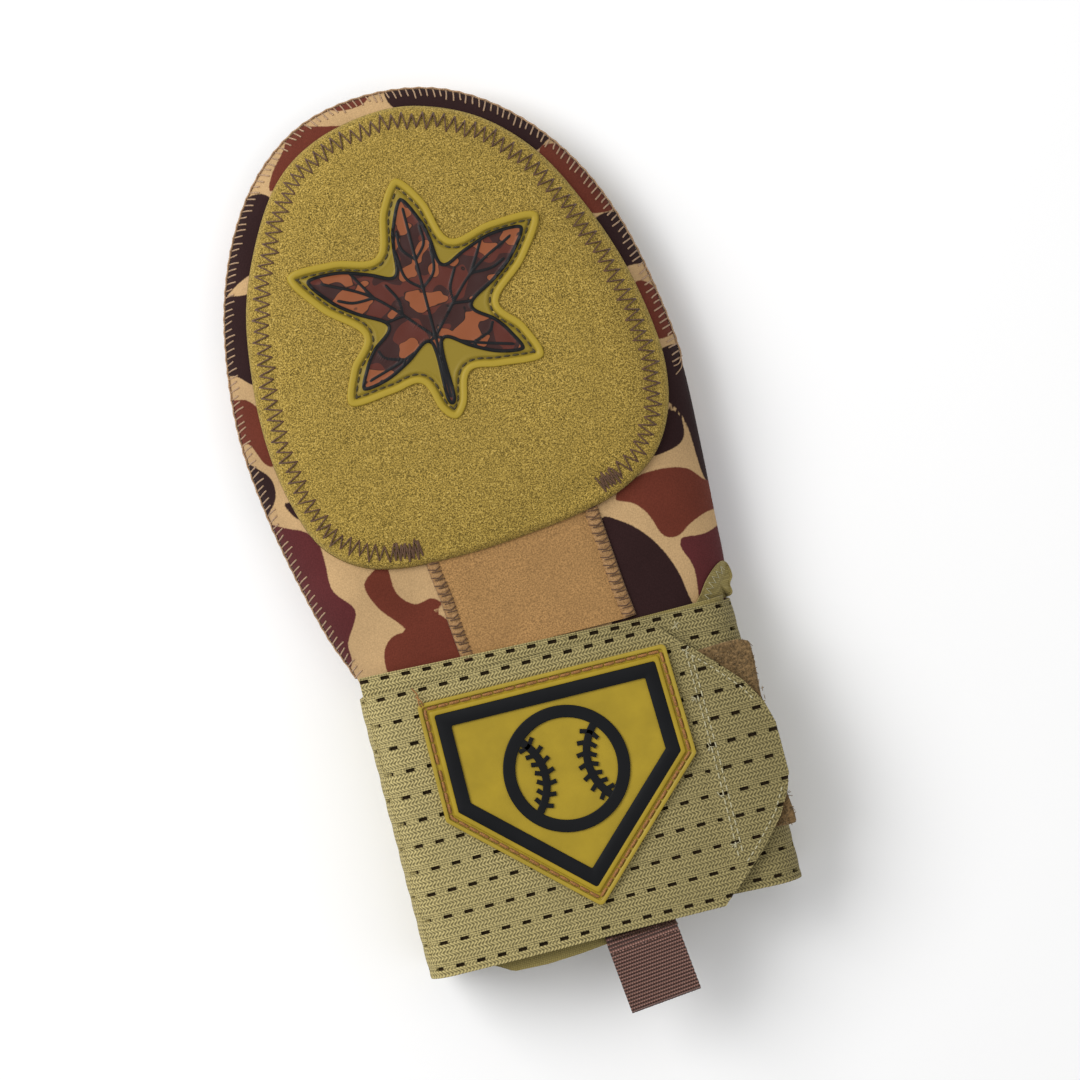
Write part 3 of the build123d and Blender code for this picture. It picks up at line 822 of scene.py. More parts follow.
@finish_once
def crest_rubber(name):
    """Crest: an olive yellow patch with a black-lined leaf in two browns."""
    f = Finish(name, roughness=0.44, specular=0.18)
    place = f.place()
    base = tuple(colours().crest)
    patch, leaf, vein = f.mark("patch"), f.mark("leaf"), f.mark("vein")
    rim = f.spread(patch, 2.3, 2.7, 1.0, 0.0)
    groove = f.near(patch, 3.3, 1.0)
    colour = f.mix(rim, tint(base, 0.72), tint(base, 1.05))
    colour = f.mix(groove * 0.55, colour, tint(base, 0.35))
    wobble = f.noise(place, 9.0, 0.6)
    brown = f.mix(f.spread(wobble, 0.49, 0.5), (0.040, 0.014, 0.012), (0.095, 0.022, 0.014))
    motif = f.noise(place, 7.0, 0.8, (1.0, 1.15, 1.0))
    brown = f.mix(f.spread(motif, 0.55, 0.558), brown, (0.25, 0.075, 0.028))
    brown = f.mix(f.near(motif, 0.552, 0.014), brown, (0.006, 0.005, 0.005))
    line = f.spread(vein, 0.42, 0.6, 1.0, 0.0)
    brown = f.mix(line, brown, (0.008, 0.008, 0.009))
    black = f.spread(leaf, -0.1, 0.1)
    colour = f.mix(black, colour, (0.006, 0.0062, 0.007))
    colour = f.mix(f.spread(leaf, 1.15, 1.35), colour, brown)
    gloss = f.spread(f.noise(place, 4.0, 3.0), 0.3, 0.7, 0.38, 0.52)
    return f.done(colour, gloss, f.noise(place, 0.8, 3.0), 0.03, 0.35)


def thread_of(name, base):
    """Twisted sewing thread."""
    f = Finish(name, roughness=0.55, specular=0.35, sheen=0.1)
    place = f.place()
    twist = f.noise(place, 0.35, 2.0)
    colour = f.mix(f.spread(twist, 0.3, 0.7), tint(base, 0.45), tint(base, 1.5))
    return f.done(colour, None, twist, 0.12, 0.8)


@finish_once
def brown_thread(name):
    """Brown thread of the pads and seams."""
    return thread_of(name, tuple(colours().thread))


@finish_once
def amber_thread(name):
    """Orange brown thread in the badge's groove."""
    return thread_of(name, (0.30, 0.13, 0.03))


@finish_once
def dark_thread(name):
    """Dark olive thread in the crest's groove."""
    return thread_of(name, (0.05, 0.036, 0.008))


@finish_once
def tan_thread(name):
    """Light thread of the edge and the strap."""
    return thread_of(name, tuple(colours().tan_thread))


@finish_once
def pale_thread(name):
    """Grey-green thread of the strap's end."""
    return thread_of(name, (0.46, 0.42, 0.26))


@finish_once
def seam_band(name):
    """Raised tan seam beside the gusset."""
    f = Finish(name, roughness=0.75, specular=0.2, sheen=0.1)
    place = f.place()
    fine = f.noise(place, 0.5, 3.0)
    colour = f.mix(f.spread(fine, 0.3, 0.7), (0.21, 0.11, 0.04), (0.43, 0.25, 0.11))
    return f.done(colour, None, fine, 0.15, 0.7)


@finish_once
def brown_webbing(name):
    """Ribbed webbing with pale flecks."""
    f = Finish(name, roughness=0.6, specular=0.3, sheen=0.15)
    flat = f.flat()
    base = tuple(colours().webbing)
    u, v, _ = f.parts(flat)
    rib = sizes().rib_pitch
    turn = f.wave(v, rib * 2) > 0.5
    warp = f.wave(u + turn * 0.45, 0.9)
    ribs = f.wave(v + warp * 0.12, rib)
    height = ribs * 0.7 + warp * 0.4
    colour = f.mix(f.spread(height, 0.3, 1.0), tint(base, 0.12), tint(base, 1.3))
    fleck = f.spread(warp * ribs + f.noise(flat, 1.0) * 0.4, 0.62, 0.9)
    colour = f.mix(fleck * 0.8, colour, (0.42, 0.26, 0.21))
    return f.done(colour, None, height, 0.4, 0.9)


@finish_once
def inner_jersey(name):
    """Dark lining jersey."""
    f = Finish(name, roughness=0.9, specular=0.12, sheen=0.15)
    place = f.place()
    base = tuple(colours().lining)
    fine = f.noise(place, 0.6, 3.0)
    colour = f.mix(fine, tint(base, 0.5), tint(base, 1.6))
    return f.done(colour, None, fine, 0.2, 0.6)


@finish_once
def loop_pile(name):
    """Loose loops of the closure."""
    f = Finish(name, roughness=0.92, specular=0.1, sheen=0.3, sheen_tint=(1, 0.85, 0.6))
    place = f.place()
    base = tuple(colours().loops)
    curl = f.noise(place, 0.8, 4.0)
    colour = f.mix(f.spread(curl, 0.32, 0.66), tint(base, 0.45), tint(base, 1.35))
    return f.done(colour, None, curl, 0.8, 1.0)


@finish_once
def pad_foam(name):
    """Open foam inside the pads."""
    f = Finish(name, roughness=0.95, specular=0.1)
    place = f.place()
    colour = f.mix(f.cells(place, 1.2), (0.10, 0.10, 0.10), (0.34, 0.33, 0.30))
    return f.done(colour, None, f.cells(place, 1.2), 0.4, 0.8)


@finish_once
def plate_plastic(name):
    """Moulded stiff plate."""
    f = Finish(name, roughness=0.45, specular=0.5)
    place = f.place()
    colour = f.mix(f.noise(place, 6.0, 3.0), (0.05, 0.05, 0.052), (0.075, 0.075, 0.078))
    return f.done(colour, None, f.noise(place, 0.9, 3.0), 0.05, 0.4)


def lay_flat(piece, along_it, across_it):
    """Give a piece flat cloth coordinates from two numbers at each of its points, in mm."""
    layer = piece.data.uv_layers.get("Cloth") or piece.data.uv_layers.new(name="Cloth")
    corner = np.empty(len(piece.data.loops), int)
    piece.data.loops.foreach_get("vertex_index", corner)
    uv = np.stack([along_it[corner], across_it[corner]], axis=1)
    layer.data.foreach_set("uv", uv.ravel())


def face_outwards(piece, direction):
    """Flip a sheet whose faces look away from a direction on the whole."""
    normals = np.empty(len(piece.data.polygons) * 3)
    piece.data.polygons.foreach_get("normal", normals)
    if (normals.reshape(-1, 3) @ np.array(direction)).sum() < 0:
        active(piece)
        bpy.ops.object.mode_set(mode="EDIT")
        bpy.ops.mesh.select_all(action="SELECT")
        bpy.ops.mesh.flip_normals()
        bpy.ops.object.mode_set(mode="OBJECT")
    return piece


# ---- Pieces --------------------------------------------------------------------------------
def hand_grid(name, height, columns, rows, margin=0.0, start_y=None):
    """A domed half of the hand part, laid from edge to edge and closed at the fingertips."""
    curve = HAND_CURVE
    tip = int(np.argmax(curve[:, 1]))
    left, right = curve[:tip + 1], curve[tip:][::-1]

    def side(edge):
        return along(edge, np.linspace(0, lengths(edge)[-1], rows + 1))

    left, right = side(left), side(right)
    level = (left[:, 1] + right[:, 1]) / 2
    spine_y = np.where(level < 0, level, 38 * (1 - np.exp(-np.maximum(level, 0) / 38)))
    spine = np.stack([(left[:, 0] + right[:, 0]) / 2, spine_y], axis=1)
    half = columns // 2

    def place(across, up):
        on_left = across <= half
        share = np.where(on_left, across / half, (columns - across) / half)
        share = share**1.25
        edge = np.where(on_left[:, None], left[up], right[up])
        flat = edge + (spine[up] - edge) * share[:, None]
        if margin:
            toward = spine[up] - edge
            toward /= np.maximum(np.linalg.norm(toward, axis=1, keepdims=True), 1e-9)
            flat = flat + toward * margin * (1 - share[:, None])
        if start_y is not None:
            flat[:, 1] = np.maximum(flat[:, 1], start_y)
        return np.column_stack([flat, height(flat)])

    return merge(cloth_grid(name, columns, rows, place))


def print_camo(piece, turn=1):
    """Store how deep each point lies in each colour of the print."""
    points = points_of(piece)[:, :2] * np.array([turn, 1])
    for name, patches in (("dark", DARK_PRINT), ("rust", RUST_PRINT), ("maroon", MAROON_PRINT)):
        best = np.full(len(points), -50.0)
        for patch in patches:
            best = np.maximum(best, depth(points, smooth(patch, steps=5)))
        mark(piece, name, best)


class MITT_OT_shells(bpy.types.Operator):
    """Neoprene halves of the hand part, with their print, and the jersey linings inside them"""
    bl_idname = "mitt.shells"
    bl_label = "Shells and linings"

    def execute(self, context):
        back = face_outwards(hand_grid("shell_back", back_height, 110, 130), (0, 0, 1))
        palm = face_outwards(hand_grid("shell_palm", palm_height, 110, 130), (0, 0, -1))
        for piece, turn, node in ((back, 1, "back_shell"), (palm, -1, "palm_shell")):
            finish_modifier(piece, "SOLIDIFY", thickness=2.6 * MM, offset=-1, use_even_offset=False)
            print_camo(piece, turn)
            dress(shade(piece, 55), "mitt", camo_jersey(), "camo_neoprene", node)
        wall = 3.3
        for name, height, node, out in (
                ("lining_back", back_height, "back_lining", 1),
                ("lining_palm", palm_height, "palm_lining", -1)):
            piece = hand_grid(
                name, lambda flat: height(flat, wall), 60, 70, margin=wall + 1.0, start_y=-114.0)
            face_outwards(piece, (0, 0, out))
            finish_modifier(piece, "SOLIDIFY", thickness=0.8 * MM, offset=-1, use_even_offset=False)
            dress(shade(piece, 60), "mitt", inner_jersey(), "inner_jersey", node)
        return {"FINISHED"}


class MITT_OT_edge_thread(bpy.types.Operator):
    """Overlock stitches round the sewn edge, with a loose end on the thumb side"""
    bl_idname = "mitt.edge_thread"
    bl_label = "Edge thread"

    def execute(self, context):
        size = sizes()
        curve = even(smooth(HAND_EDGE, closed=False), size.overlock_pitch)
        out = outward(curve, closed=False)
        last = np.argmin(np.hypot(curve[:, 0] - 76, curve[:, 1] + 29))
        wraps, chain_top, chain_low = [], [], []
        for i in range(4, last + 1):
            spot, away = curve[i], out[i]
            lean = np.array([away[1], -away[0]]) * (1.15 + 0.25 * math.sin(i * 1.9))
            reach = 3.1 + 0.5 * math.sin(i * 2.3) + 0.3 * math.sin(i * 5.1)
            flat = [spot - away * back + lean * sideways for back, sideways in (
                (reach, 1), (1.6, 0.6), (0.2, 0.2), (-0.55, 0), (0.2, -0.3), (1.6, -0.6), (reach, -1))]
            seam = float(seam_height(spot[1]))
            top = [float(back_height(flat[k][None])[0]) + 0.22 for k in range(3)]
            low = [float(palm_height(flat[k][None])[0]) - 0.22 for k in (4, 5, 6)]
            heights = [*top, seam, *low]
            wraps.append([(*p, z) for p, z in zip(flat, heights)])
            rail = spot + away * (0.5 if i % 2 else 0.2)
            chain_top.append((*rail, seam + 0.9))
            chain_low.append((*rail, seam - 0.9))
        piece = tubes("edge_stitches", wraps, size.thread_radius, 0)
        dress(piece, "mitt", tan_thread(), "tan_thread")
        rails = tubes("edge_chain", [chain_top, chain_low], size.thread_radius * 1.1, 1)
        dress(rails, "mitt", tan_thread(), "tan_thread", "edge_overlock_thread")
        end = curve[last]
        seam = float(seam_height(end[1]))
        loose = [[(end[0] + 0.3, end[1], seam + 1), (end[0] - 1.5, end[1] - 2.5, seam + 5),
                  (end[0] - 5.5, end[1] - 3.5, seam + 7.2), (end[0] - 8.5, end[1] - 6.5, seam + 8.1)],
                 [(end[0] + 0.2, end[1] + 1, seam + 1), (end[0] - 0.6, end[1] - 3.5, seam + 4),
                  (end[0] - 3.5, end[1] - 6.0, seam + 6.6)]]
        piece = tubes("edge_loose_ends", [smooth(run, closed=False, steps=5) for run in loose], 0.22, 1)
        dress(piece, "mitt", tan_thread(), "tan_thread")
        return {"FINISHED"}


def puff(piece, pinned, pressure, cap, up):
    """Swell a padded piece by simulation, up or down, and keep each point within cap of its start, in mm."""
    before = points_of(piece)
    group = piece.vertex_groups.new(name="sewn")
    group.add([int(i) for i in np.nonzero(pinned(before))[0]], 1.0, "REPLACE")
    active(piece)
    cloth = piece.modifiers.new("Cloth", "CLOTH")
    cloth.settings.quality = 5
    cloth.settings.use_pressure = True
    cloth.settings.uniform_pressure_force = pressure
    cloth.settings.vertex_group_mass = "sewn"
    cloth.settings.tension_stiffness = 12
    cloth.settings.bending_stiffness = 0.8
    cloth.settings.effector_weights.gravity = 0
    cloth.collision_settings.use_collision = False
    scene = bpy.context.scene
    for number in range(1, 21):
        scene.frame_set(number)
    bpy.ops.object.modifier_apply(modifier=cloth.name)
    scene.frame_set(1)
    move = points_of(piece) - before
    move[:, 2] = up * np.maximum(up * move[:, 2], 0)
    far = np.linalg.norm(move, axis=1, keepdims=True)
    set_points(piece, before + move * np.minimum(1, cap / np.maximum(far, 1e-9)))
    piece.vertex_groups.clear()
    return piece


def pad_rings(name, top, low, turn=1, rings_in=44, spacing=1.7):
    """A closed pad between two heights, laid in rings from its edge to its middle."""
    edge = even(smooth(PAD_EDGE), spacing, closed=True) * np.array([turn, 1])
    shares = 1 - (np.arange(rings_in + 1) / rings_in) ** 1.35
    shares[-1] = 0.004
    over = [edge * s for s in shares]
    under = [edge * s for s in (0.012, 0.3, 0.6, 0.85, 0.975)]
    loops = [np.column_stack([loop, low(loop)]) for loop in under]
    loops += [np.column_stack([loop, top(loop)]) for loop in over]
    piece = rings(name, loops)
    for z_test in (low, top):
        fill_middle(piece, lambda p, z_test=z_test: (np.hypot(p[:, 0], p[:, 1]) < 1.2)
                    & (np.abs(p[:, 2] - z_test(p[:, :2])) < 0.3))
    return merge(piece, 0.02)


def zigzag(edge, height, start, end, pitch, near=3.0, far=8.6, seed=0.0):
    """A zigzag stitch along an edge, as runs of 3D points."""
    places = np.arange(start, end, pitch / 2)
    spots = along(edge, places)
    inwards = along(edge, places, -outward(edge, closed=False))
    number = np.arange(len(places))
    wobble = 0.45 * np.sin(number * 1.7 + seed) + 0.35 * np.sin(number * 0.61 + 2 * seed)
    reach = np.where(number % 2 == 0, near, far) + wobble
    corners = spots + inwards * reach[:, None]
    legs = []
    for a, b in zip(corners[:-1], corners[1:]):
        flat = a + (b - a) * np.linspace(0, 1, 5)[:, None]
        lift = np.array([-0.45, 0.06, 0.14, 0.04, -0.45]) - 0.12 * np.sin(a[0] * 1.9 + a[1])
        legs.append(np.column_stack([flat, height(flat) + lift]))
    return legs


class MITT_OT_pads(bpy.types.Operator):
    """Brushed pads on the back and the palm, swollen by simulation, with their zigzag stitches"""
    bl_idname = "mitt.pads"
    bl_label = "Pads"

    def execute(self, context):
        size = sizes()

        def back_low(flat):
            return back_height(flat) + 0.12

        def palm_top(flat):
            return np.full(len(flat), PALM_FLOOR - 0.25)

        def palm_low(flat):
            gap = np.maximum(depth(flat * np.array([-1, 1]), PAD_CURVE), 0)
            side = np.sqrt(np.clip(1 - (1 - np.clip(gap / 3.2, 0, 1)) ** 2, 0, 1))
            return PALM_FLOOR - 0.25 - side * (0.9 + 0.1 * ease((gap - 2) / 10)) * (PALM_FLOOR - 0.3)

        def seam_dip(points, turn):
            flat = points[:, :2] * np.array([turn, 1])
            gap = depth(flat, PAD_CURVE)
            dip = np.exp(-((gap - 5.8) / 3.4) ** 2) * 0.55
            dip *= 1 - ease((24 - np.abs(flat[:, 0] - 4)) / 6) * (flat[:, 1] < -55)
            return np.where(gap > 0.6, dip, 0)

        back = pad_rings("pad_back", back_pad_height, back_low)
        middle = back_low(np.zeros((1, 2)))[0]
        puff(back, lambda p: (p[:, 2] < back_low(p[:, :2]) + 2.2) | (p[:, 2] < middle - 40), 4.0, 1.1, 1)
        points = points_of(back)
        on_top = points[:, 2] > back_low(points[:, :2]) + 1.5
        crest = np.exp(-((np.hypot((points[:, 0] - CREST_X) / 46, (points[:, 1] - CREST_Y) / 42)) ** 6)) * 0.5
        points[:, 2] -= np.where(on_top, seam_dip(points, 1) + crest * 0.4, 0)
        points[:, 2] += np.where(on_top, 0.22 * ripple(points[:, 0], points[:, 1], 14), 0)
        set_points(back, points)
        dress(shade(back), "mitt", pad_pile(), "pad_brushed", "back_pad_cover")

        palm = pad_rings("pad_palm", palm_top, palm_low, turn=-1)
        puff(palm, lambda p: (p[:, 2] > PALM_FLOOR - 3) | (p[:, 2] < 0.6), 3.0, 0.8, -1)
        points = points_of(palm)
        low = points[:, 2] < PALM_FLOOR - 1.5
        points[:, 2] += np.where(low, seam_dip(points, -1), 0)
        points[:, 2] = np.maximum(points[:, 2], 0.05)
        set_points(palm, points)
        dress(shade(palm), "mitt", pad_pile(), "pad_brushed", "palm_pad_cover")

        edge = even(smooth(PAD_EDGE), 0.8, closed=True)
        edge = np.vstack([edge, edge[:1]])
        if area_sign(edge[:-1]) > 0:
            edge = edge[::-1]
        begin = int(np.argmin(np.hypot(edge[:-1, 0] + 27, edge[:-1, 1] + 77)))
        edge = np.vstack([edge[begin:-1], edge[:begin + 1]])
        run = lengths(edge)
        close = np.argmin(np.hypot(edge[:, 0] - 38, edge[:, 1] + 71.5))

        def back_top(flat):
            gap = depth(flat, PAD_CURVE)
            return back_pad_height(flat) - np.exp(-((gap - 5.8) / 3.4) ** 2) * 0.55 + 0.35

        def palm_skin(flat):
            return palm_low(flat) + 0.2

        for name, height, turn, node in (
                ("zigzag_back", back_top, 1, "back_pad_zigzag"),
                ("zigzag_palm", palm_skin, -1, "palm_pad_zigzag")):
            lap = edge * np.array([turn, 1])
            lap = lap if turn == 1 else lap[::-1]
            span = (0, run[close]) if turn == 1 else (run[-1] - run[close], run[-1])
            legs = zigzag(lap, height, *span, size.zigzag_pitch)
            thread = tubes(name, [np.vstack(legs)], size.thread_radius * 0.95, 1)
            dress(thread, "mitt", brown_thread(), "brown_thread", node)
            tacks = zigzag(lap, height, span[0], span[0] + 11, 1.6, 2.6, 8.4, 1.0)
            tacks += zigzag(lap, height, span[1] - 9, span[1], 1.5, 2.6, 8.4, 2.0)
            tack = tubes(name + "_tacks", tacks, size.thread_radius * 1.15, 1)
            dress(tack, "mitt", brown_thread(), "brown_thread")
        return {"FINISHED"}


class MITT_OT_gusset(bpy.types.Operator):
    """Stretch cloth on the back of the hand, its two raised seams and their ladder stitches"""
    bl_idname = "mitt.gusset"
    bl_label = "Stretch gusset"

    def execute(self, context):
        rows = 60
        steps = np.linspace(0, 1, rows + 1)

        def edge_line(points, shift):
            curve = smooth(points, closed=False)
            line = along(curve, steps * lengths(curve)[-1])
            return line + outward(line, closed=False) * shift

        left, right = edge_line(SEAM_LEFT, 0.6), edge_line(SEAM_RIGHT, -0.6)
        columns = 70

        def cloth(across, up):
            share = across / columns
            flat = left[up] + (right[up] - left[up]) * share[:, None]
            from_side = np.minimum(share, 1 - share) * 57
            pucker = 0.18 * np.sin(flat[:, 1] * 2.6 + flat[:, 0] * 0.2) * np.exp(-from_side / 4)
            fold = 0.3 * ripple(flat[:, 0], flat[:, 1], 9, 1.3)
            rise = 0.45 + 0.75 * ease(from_side / 6) + fold + pucker
            return np.column_stack([flat, back_height(flat) + rise])

        piece = face_outwards(cloth_grid("gusset_cloth", columns, rows, cloth), (0, 0, 1))
        finish_modifier(piece, "SOLIDIFY", thickness=0.5 * MM, offset=-1)
        dress(shade(piece, 60), "mitt", gusset_stretch(), "tan_stretch", "stretch_gusset")

        for name, points, node, wide in (
                ("left", SEAM_LEFT, "gusset_seam_left", 4.4),
                ("right", SEAM_RIGHT, "gusset_seam_right", 4.8)):
            curve = smooth(points, closed=False)
            length = lengths(curve)[-1]
            count = int(length / 0.5)
            spots = along(curve, np.linspace(0, length, count + 1))
            side = outward(spots, closed=False)

            def band(across, up):
                share = across / 10 * 2 - 1
                flat = spots[up] + side[up] * (share * wide / 2)[:, None]
                bulge = np.sqrt(np.clip(1 - share**2, 0, 1))
                pinch = 0.8 + 0.2 * np.cos(up * 0.5 / 2.5 * 2 * np.pi)
                return np.column_stack([flat, back_height(flat) + 0.35 + 1.35 * bulge * pinch])

            strip = face_outwards(cloth_grid("gusset_band_" + name, 10, count, band), (0, 0, 1))
            dress(shade(strip), "mitt", seam_band(), "tan_stretch", node)
            finish_modifier(strip, "SOLIDIFY", thickness=0.5 * MM, offset=-1)
            ladder = []
            for place in np.arange(0.6, length - 0.5, 2.9):
                for begin, end in (
                        ((-1.0, 0), (0.1, 0.9)), ((0.1, 0.9), (1.0, 0.1)), ((-0.55, 1.3), (1.0, 1.7))):
                    run = []
                    for t in np.linspace(0, 1, 5):
                        across_it = begin[0] + (end[0] - begin[0]) * t
                        spot = along(curve, [place + begin[1] + (end[1] - begin[1]) * t])[0]
                        away = side[min(count, int(place / 0.5))]
                        flat = spot + away * across_it * wide / 2
                        bulge = math.sqrt(max(0, 1 - across_it**2))
                        run.append((*flat, float(back_height(flat[None])[0]) + 0.55 + 1.25 * bulge))
                    ladder.append(run)
            thread = tubes("gusset_ladder_" + name, ladder, 0.19, 1)
            dress(thread, "mitt", brown_thread(), "brown_thread")
        return {"FINISHED"}


class MITT_OT_crest(bpy.types.Operator):
    """Moulded crest on the back pad: rim, stitched groove and a lobed leaf"""
    bl_idname = "mitt.crest"
    bl_label = "Crest"

    def execute(self, context):
        centre = np.array([CREST_X, CREST_Y])
        patch = even(smooth(PATCH_EDGE, steps=6), 0.62, closed=True)
        leaf = even(smooth(LEAF_EDGE, steps=6), 0.6, closed=True)
        veins = [smooth(run, closed=False, steps=6) for run in LEAF_VEINS]
        ground = back_pad_height
        count = 60
        shares = np.concatenate([
            1 - 0.12 * np.linspace(0, 1, 22), 0.88 * (1 - np.linspace(0, 1, count - 20)[1:])])
        shares[-1] = 0.01
        loops = []
        for share in (0.5, 0.96, 0.99, 1.0):
            flat = patch * share
            drop = 0.0 if share < 1 else 0.5
            loops.append(np.column_stack([flat + centre, ground(flat + centre) - 0.35 + drop]))
        for share in shares:
            flat = patch * share
            loops.append(np.column_stack([flat + centre, ground(flat + centre)]))
        piece = rings("crest_patch", loops)
        points = points_of(piece)
        flat = points[:, :2] - centre
        from_edge = np.where(inside(flat, patch), distance(flat, patch, closed=True), 0)
        from_leaf = depth(flat, leaf)
        from_vein = np.min([distance(flat, run) for run in veins], axis=0)
        rim = 0.62 * np.sqrt(np.clip(1 - ((from_edge - 1.2) / 1.3) ** 2, 0, 1))
        wall = ease(from_edge / 0.35) * 1.35
        groove = -0.5 * np.clip(1 - np.abs(from_edge - 3.3) / 0.8, 0, 1)
        lip = 0.22 * np.exp(-((from_edge - 4.4) / 0.4) ** 2)
        raised = 0.62 * ease((from_leaf + 0.15) / 0.35)
        inner = -0.28 * ease((from_leaf - 1.15) / 0.3)
        line = 0.25 * (1 - ease((from_vein - 0.25) / 0.3)) * (from_leaf > 1.2)
        wave = -0.14 * ripple(flat[:, 0], flat[:, 1], 3.0, 2.0) * (from_leaf > 1.4)
        top = np.arange(len(points)) >= 4 * len(patch)
        points[:, 2] += np.where(top, wall + rim + groove + lip + raised + inner + line + wave, 0)
        set_points(piece, points)
        mark(piece, "patch", from_edge)
        mark(piece, "leaf", from_leaf)
        mark(piece, "vein", from_vein)
        fill_middle(piece, lambda p: np.hypot(p[:, 0] - CREST_X, p[:, 1] - CREST_Y) < 0.7)
        merge(piece, 0.02)
        dress(shade(piece, 60), "mitt", crest_rubber(), "crest_olive", "crest_base", "crest_leaf")

        lane = even(set_in(even(smooth(PATCH_EDGE, steps=6), 1.0, closed=True), 3.3), 0.5, closed=True)
        stitches = []
        total = len(lane)
        step = 6
        for begin in range(0, total - step, step):
            run = lane[begin:begin + 5] + centre
            lift = np.array([-0.25, 0.1, 0.2, 0.1, -0.25])
            stitches.append(np.column_stack([run, ground(run) + 1.0 + lift]))
        thread = tubes("crest_stitches", stitches, 0.33, 1)
        dress(thread, "mitt", dark_thread(), "brown_thread", "crest_stitching")
        return {"FINISHED"}


# ---- Cuff and strap ------------------------------------------------------------------------
def corner_path(points, radius, steps=8):
    """A path in the plane with each inner corner rounded."""
    p = [np.array(q, float) for q in points]
    path = [p[0]]
    for before, at, after in zip(p[:-2], p[1:-1], p[2:]):
        u, v = (before - at) / np.linalg.norm(before - at), (after - at) / np.linalg.norm(after - at)
        half = math.acos(np.clip(u @ v, -1, 1)) / 2
        reach = radius / math.tan(half)
        middle = at + (u + v) / np.linalg.norm(u + v) * radius / math.sin(half)
        start, end = at + u * reach, at + v * reach
        a = math.atan2(*(start - middle)[::-1])
        b = math.atan2(*(end - middle)[::-1])
        turn = (b - a + math.pi) % (2 * math.pi) - math.pi
        for k in range(steps + 1):
            angle = a + turn * k / steps
            path.append(middle + radius * np.array([math.cos(angle), math.sin(angle)]))
    path.append(p[-1])
    return np.array(path)


FRONT_Z = (FRONT_LOW[2] + FRONT_HIGH[2]) / 2
UNDER_Z = LOOP_LOW[2] - 0.85
BACK_Z = WRAP_LOW[2] + 0.8
LEFT_X = WRAP_LOW[0] + 0.8
RIGHT_X = WRAP_HIGH[0] - 0.8
STRAP_TOP = FRONT_HIGH[1]
UNDER_TOP = WRAP_HIGH[1]
SPLIT_Z = 27.0


def slot_grid(span, width):
    """Lines of a band's grid along it and across it, with cells that fit its slots, and the cells cut out."""
    size = sizes()
    half = size.slot_pitch / 2
    cell = size.slot_length / 3
    marks, cut_a, cut_b = [], [], []
    start = span[0] - span[0] % size.slot_pitch
    while start < span[1]:
        for base, cuts in ((start, cut_a), (start + half, cut_b)):
            for k in range(3):
                cuts.append(base + cell * (k + 0.5))
            marks += [base + cell * k for k in range(4)]
        start += size.slot_pitch
    lines = [span[0], *[m for m in marks if span[0] + 0.2 < m < span[1] - 0.2], span[1]]
    across, row_cuts = [0.0], []
    top = 0.85
    rest = (size.row_pitch - size.slot_height) / 5
    row = 0
    while top + size.slot_height < width - 0.4:
        row_cuts.append((row % 2, top + size.slot_height / 2))
        across += [top, top + size.slot_height]
        across += [top + size.slot_height + rest * k for k in range(1, 5)]
        top += size.row_pitch
        row += 1
    across = [a for a in across if a < width - 0.3] + [width]
    return np.array(lines), np.array(across), cut_a, cut_b, row_cuts


def perforated(name, path, span, width, top_edge, thick=1.25, holes=True, sink=0.0, outline=None):
    """A band of knitted elastic along a path of (x, z), with real slots."""
    lines, across_lines, cut_a, cut_b, row_cuts = slot_grid(span, width)
    spots = along(path, lines)
    normal = outward(along(path, np.linspace(0, lengths(path)[-1], 600)), closed=False)
    run = np.linspace(0, lengths(path)[-1], 600)
    side = np.stack([np.interp(lines, run, normal[:, k]) for k in range(2)], axis=1)
    side /= np.linalg.norm(side, axis=1, keepdims=True)
    columns, rows = len(lines) - 1, len(across_lines) - 1
    size = sizes()

    def place(c, r):
        x, z = spots[c, 0], spots[c, 1]
        v = across_lines[r]
        y = top_edge(x, spots[c, 1]) - v
        y += 0.25 * ripple(lines[c], v, 24, 0.4) * (0.3 + v / width)
        band = (v - 0.85 - size.slot_height / 2) % size.row_pitch / size.row_pitch
        puffed = 0.32 * np.sin(np.pi * band) ** 0.7 + 0.18 * ripple(lines[c], v, 8.5, 2.2) - sink
        puffed = np.where((r == 0) | (r == rows), puffed - 0.15, puffed)
        return np.column_stack([x + side[c, 0] * puffed, y, z + side[c, 1] * puffed])

    piece = cloth_grid(name, columns, rows, place)
    u = np.tile(lines, rows + 1)
    v = np.repeat(across_lines, columns + 1)
    lay_flat(piece, u, v)
    if holes:
        middle_u = (lines[:-1] + lines[1:]) / 2
        middle_v = (across_lines[:-1] + across_lines[1:]) / 2
        near_cut = [np.min(np.abs(middle_u[:, None] - np.array(cuts)[None]), axis=1) < 0.3
                    for cuts in (cut_a, cut_b)]
        cut = np.zeros((rows, columns), bool)
        for odd, row_middle in row_cuts:
            r = int(np.argmin(np.abs(middle_v - row_middle)))
            cut[r] = near_cut[odd]
        active(piece)
        bpy.ops.object.mode_set(mode="EDIT")
        bpy.ops.mesh.select_mode(type="FACE")
        bpy.ops.mesh.select_all(action="DESELECT")
        bpy.ops.object.mode_set(mode="OBJECT")
        piece.data.polygons.foreach_set("select", cut.ravel())
        bpy.ops.object.mode_set(mode="EDIT")
        bpy.ops.mesh.delete(type="FACE")
        bpy.ops.object.mode_set(mode="OBJECT")
    if outline:
        trim(piece, outline)
    finish_modifier(piece, "SOLIDIFY", thickness=thick * MM, offset=0, use_even_offset=False)
    return shade(piece, 50)


def strap_path():
    """Centreline of the outer turn: up the left side, over the corner and along the front."""
    return corner_path([(LEFT_X, SPLIT_Z), (LEFT_X, FRONT_Z), (49.5, FRONT_Z)], 9.0, 10)


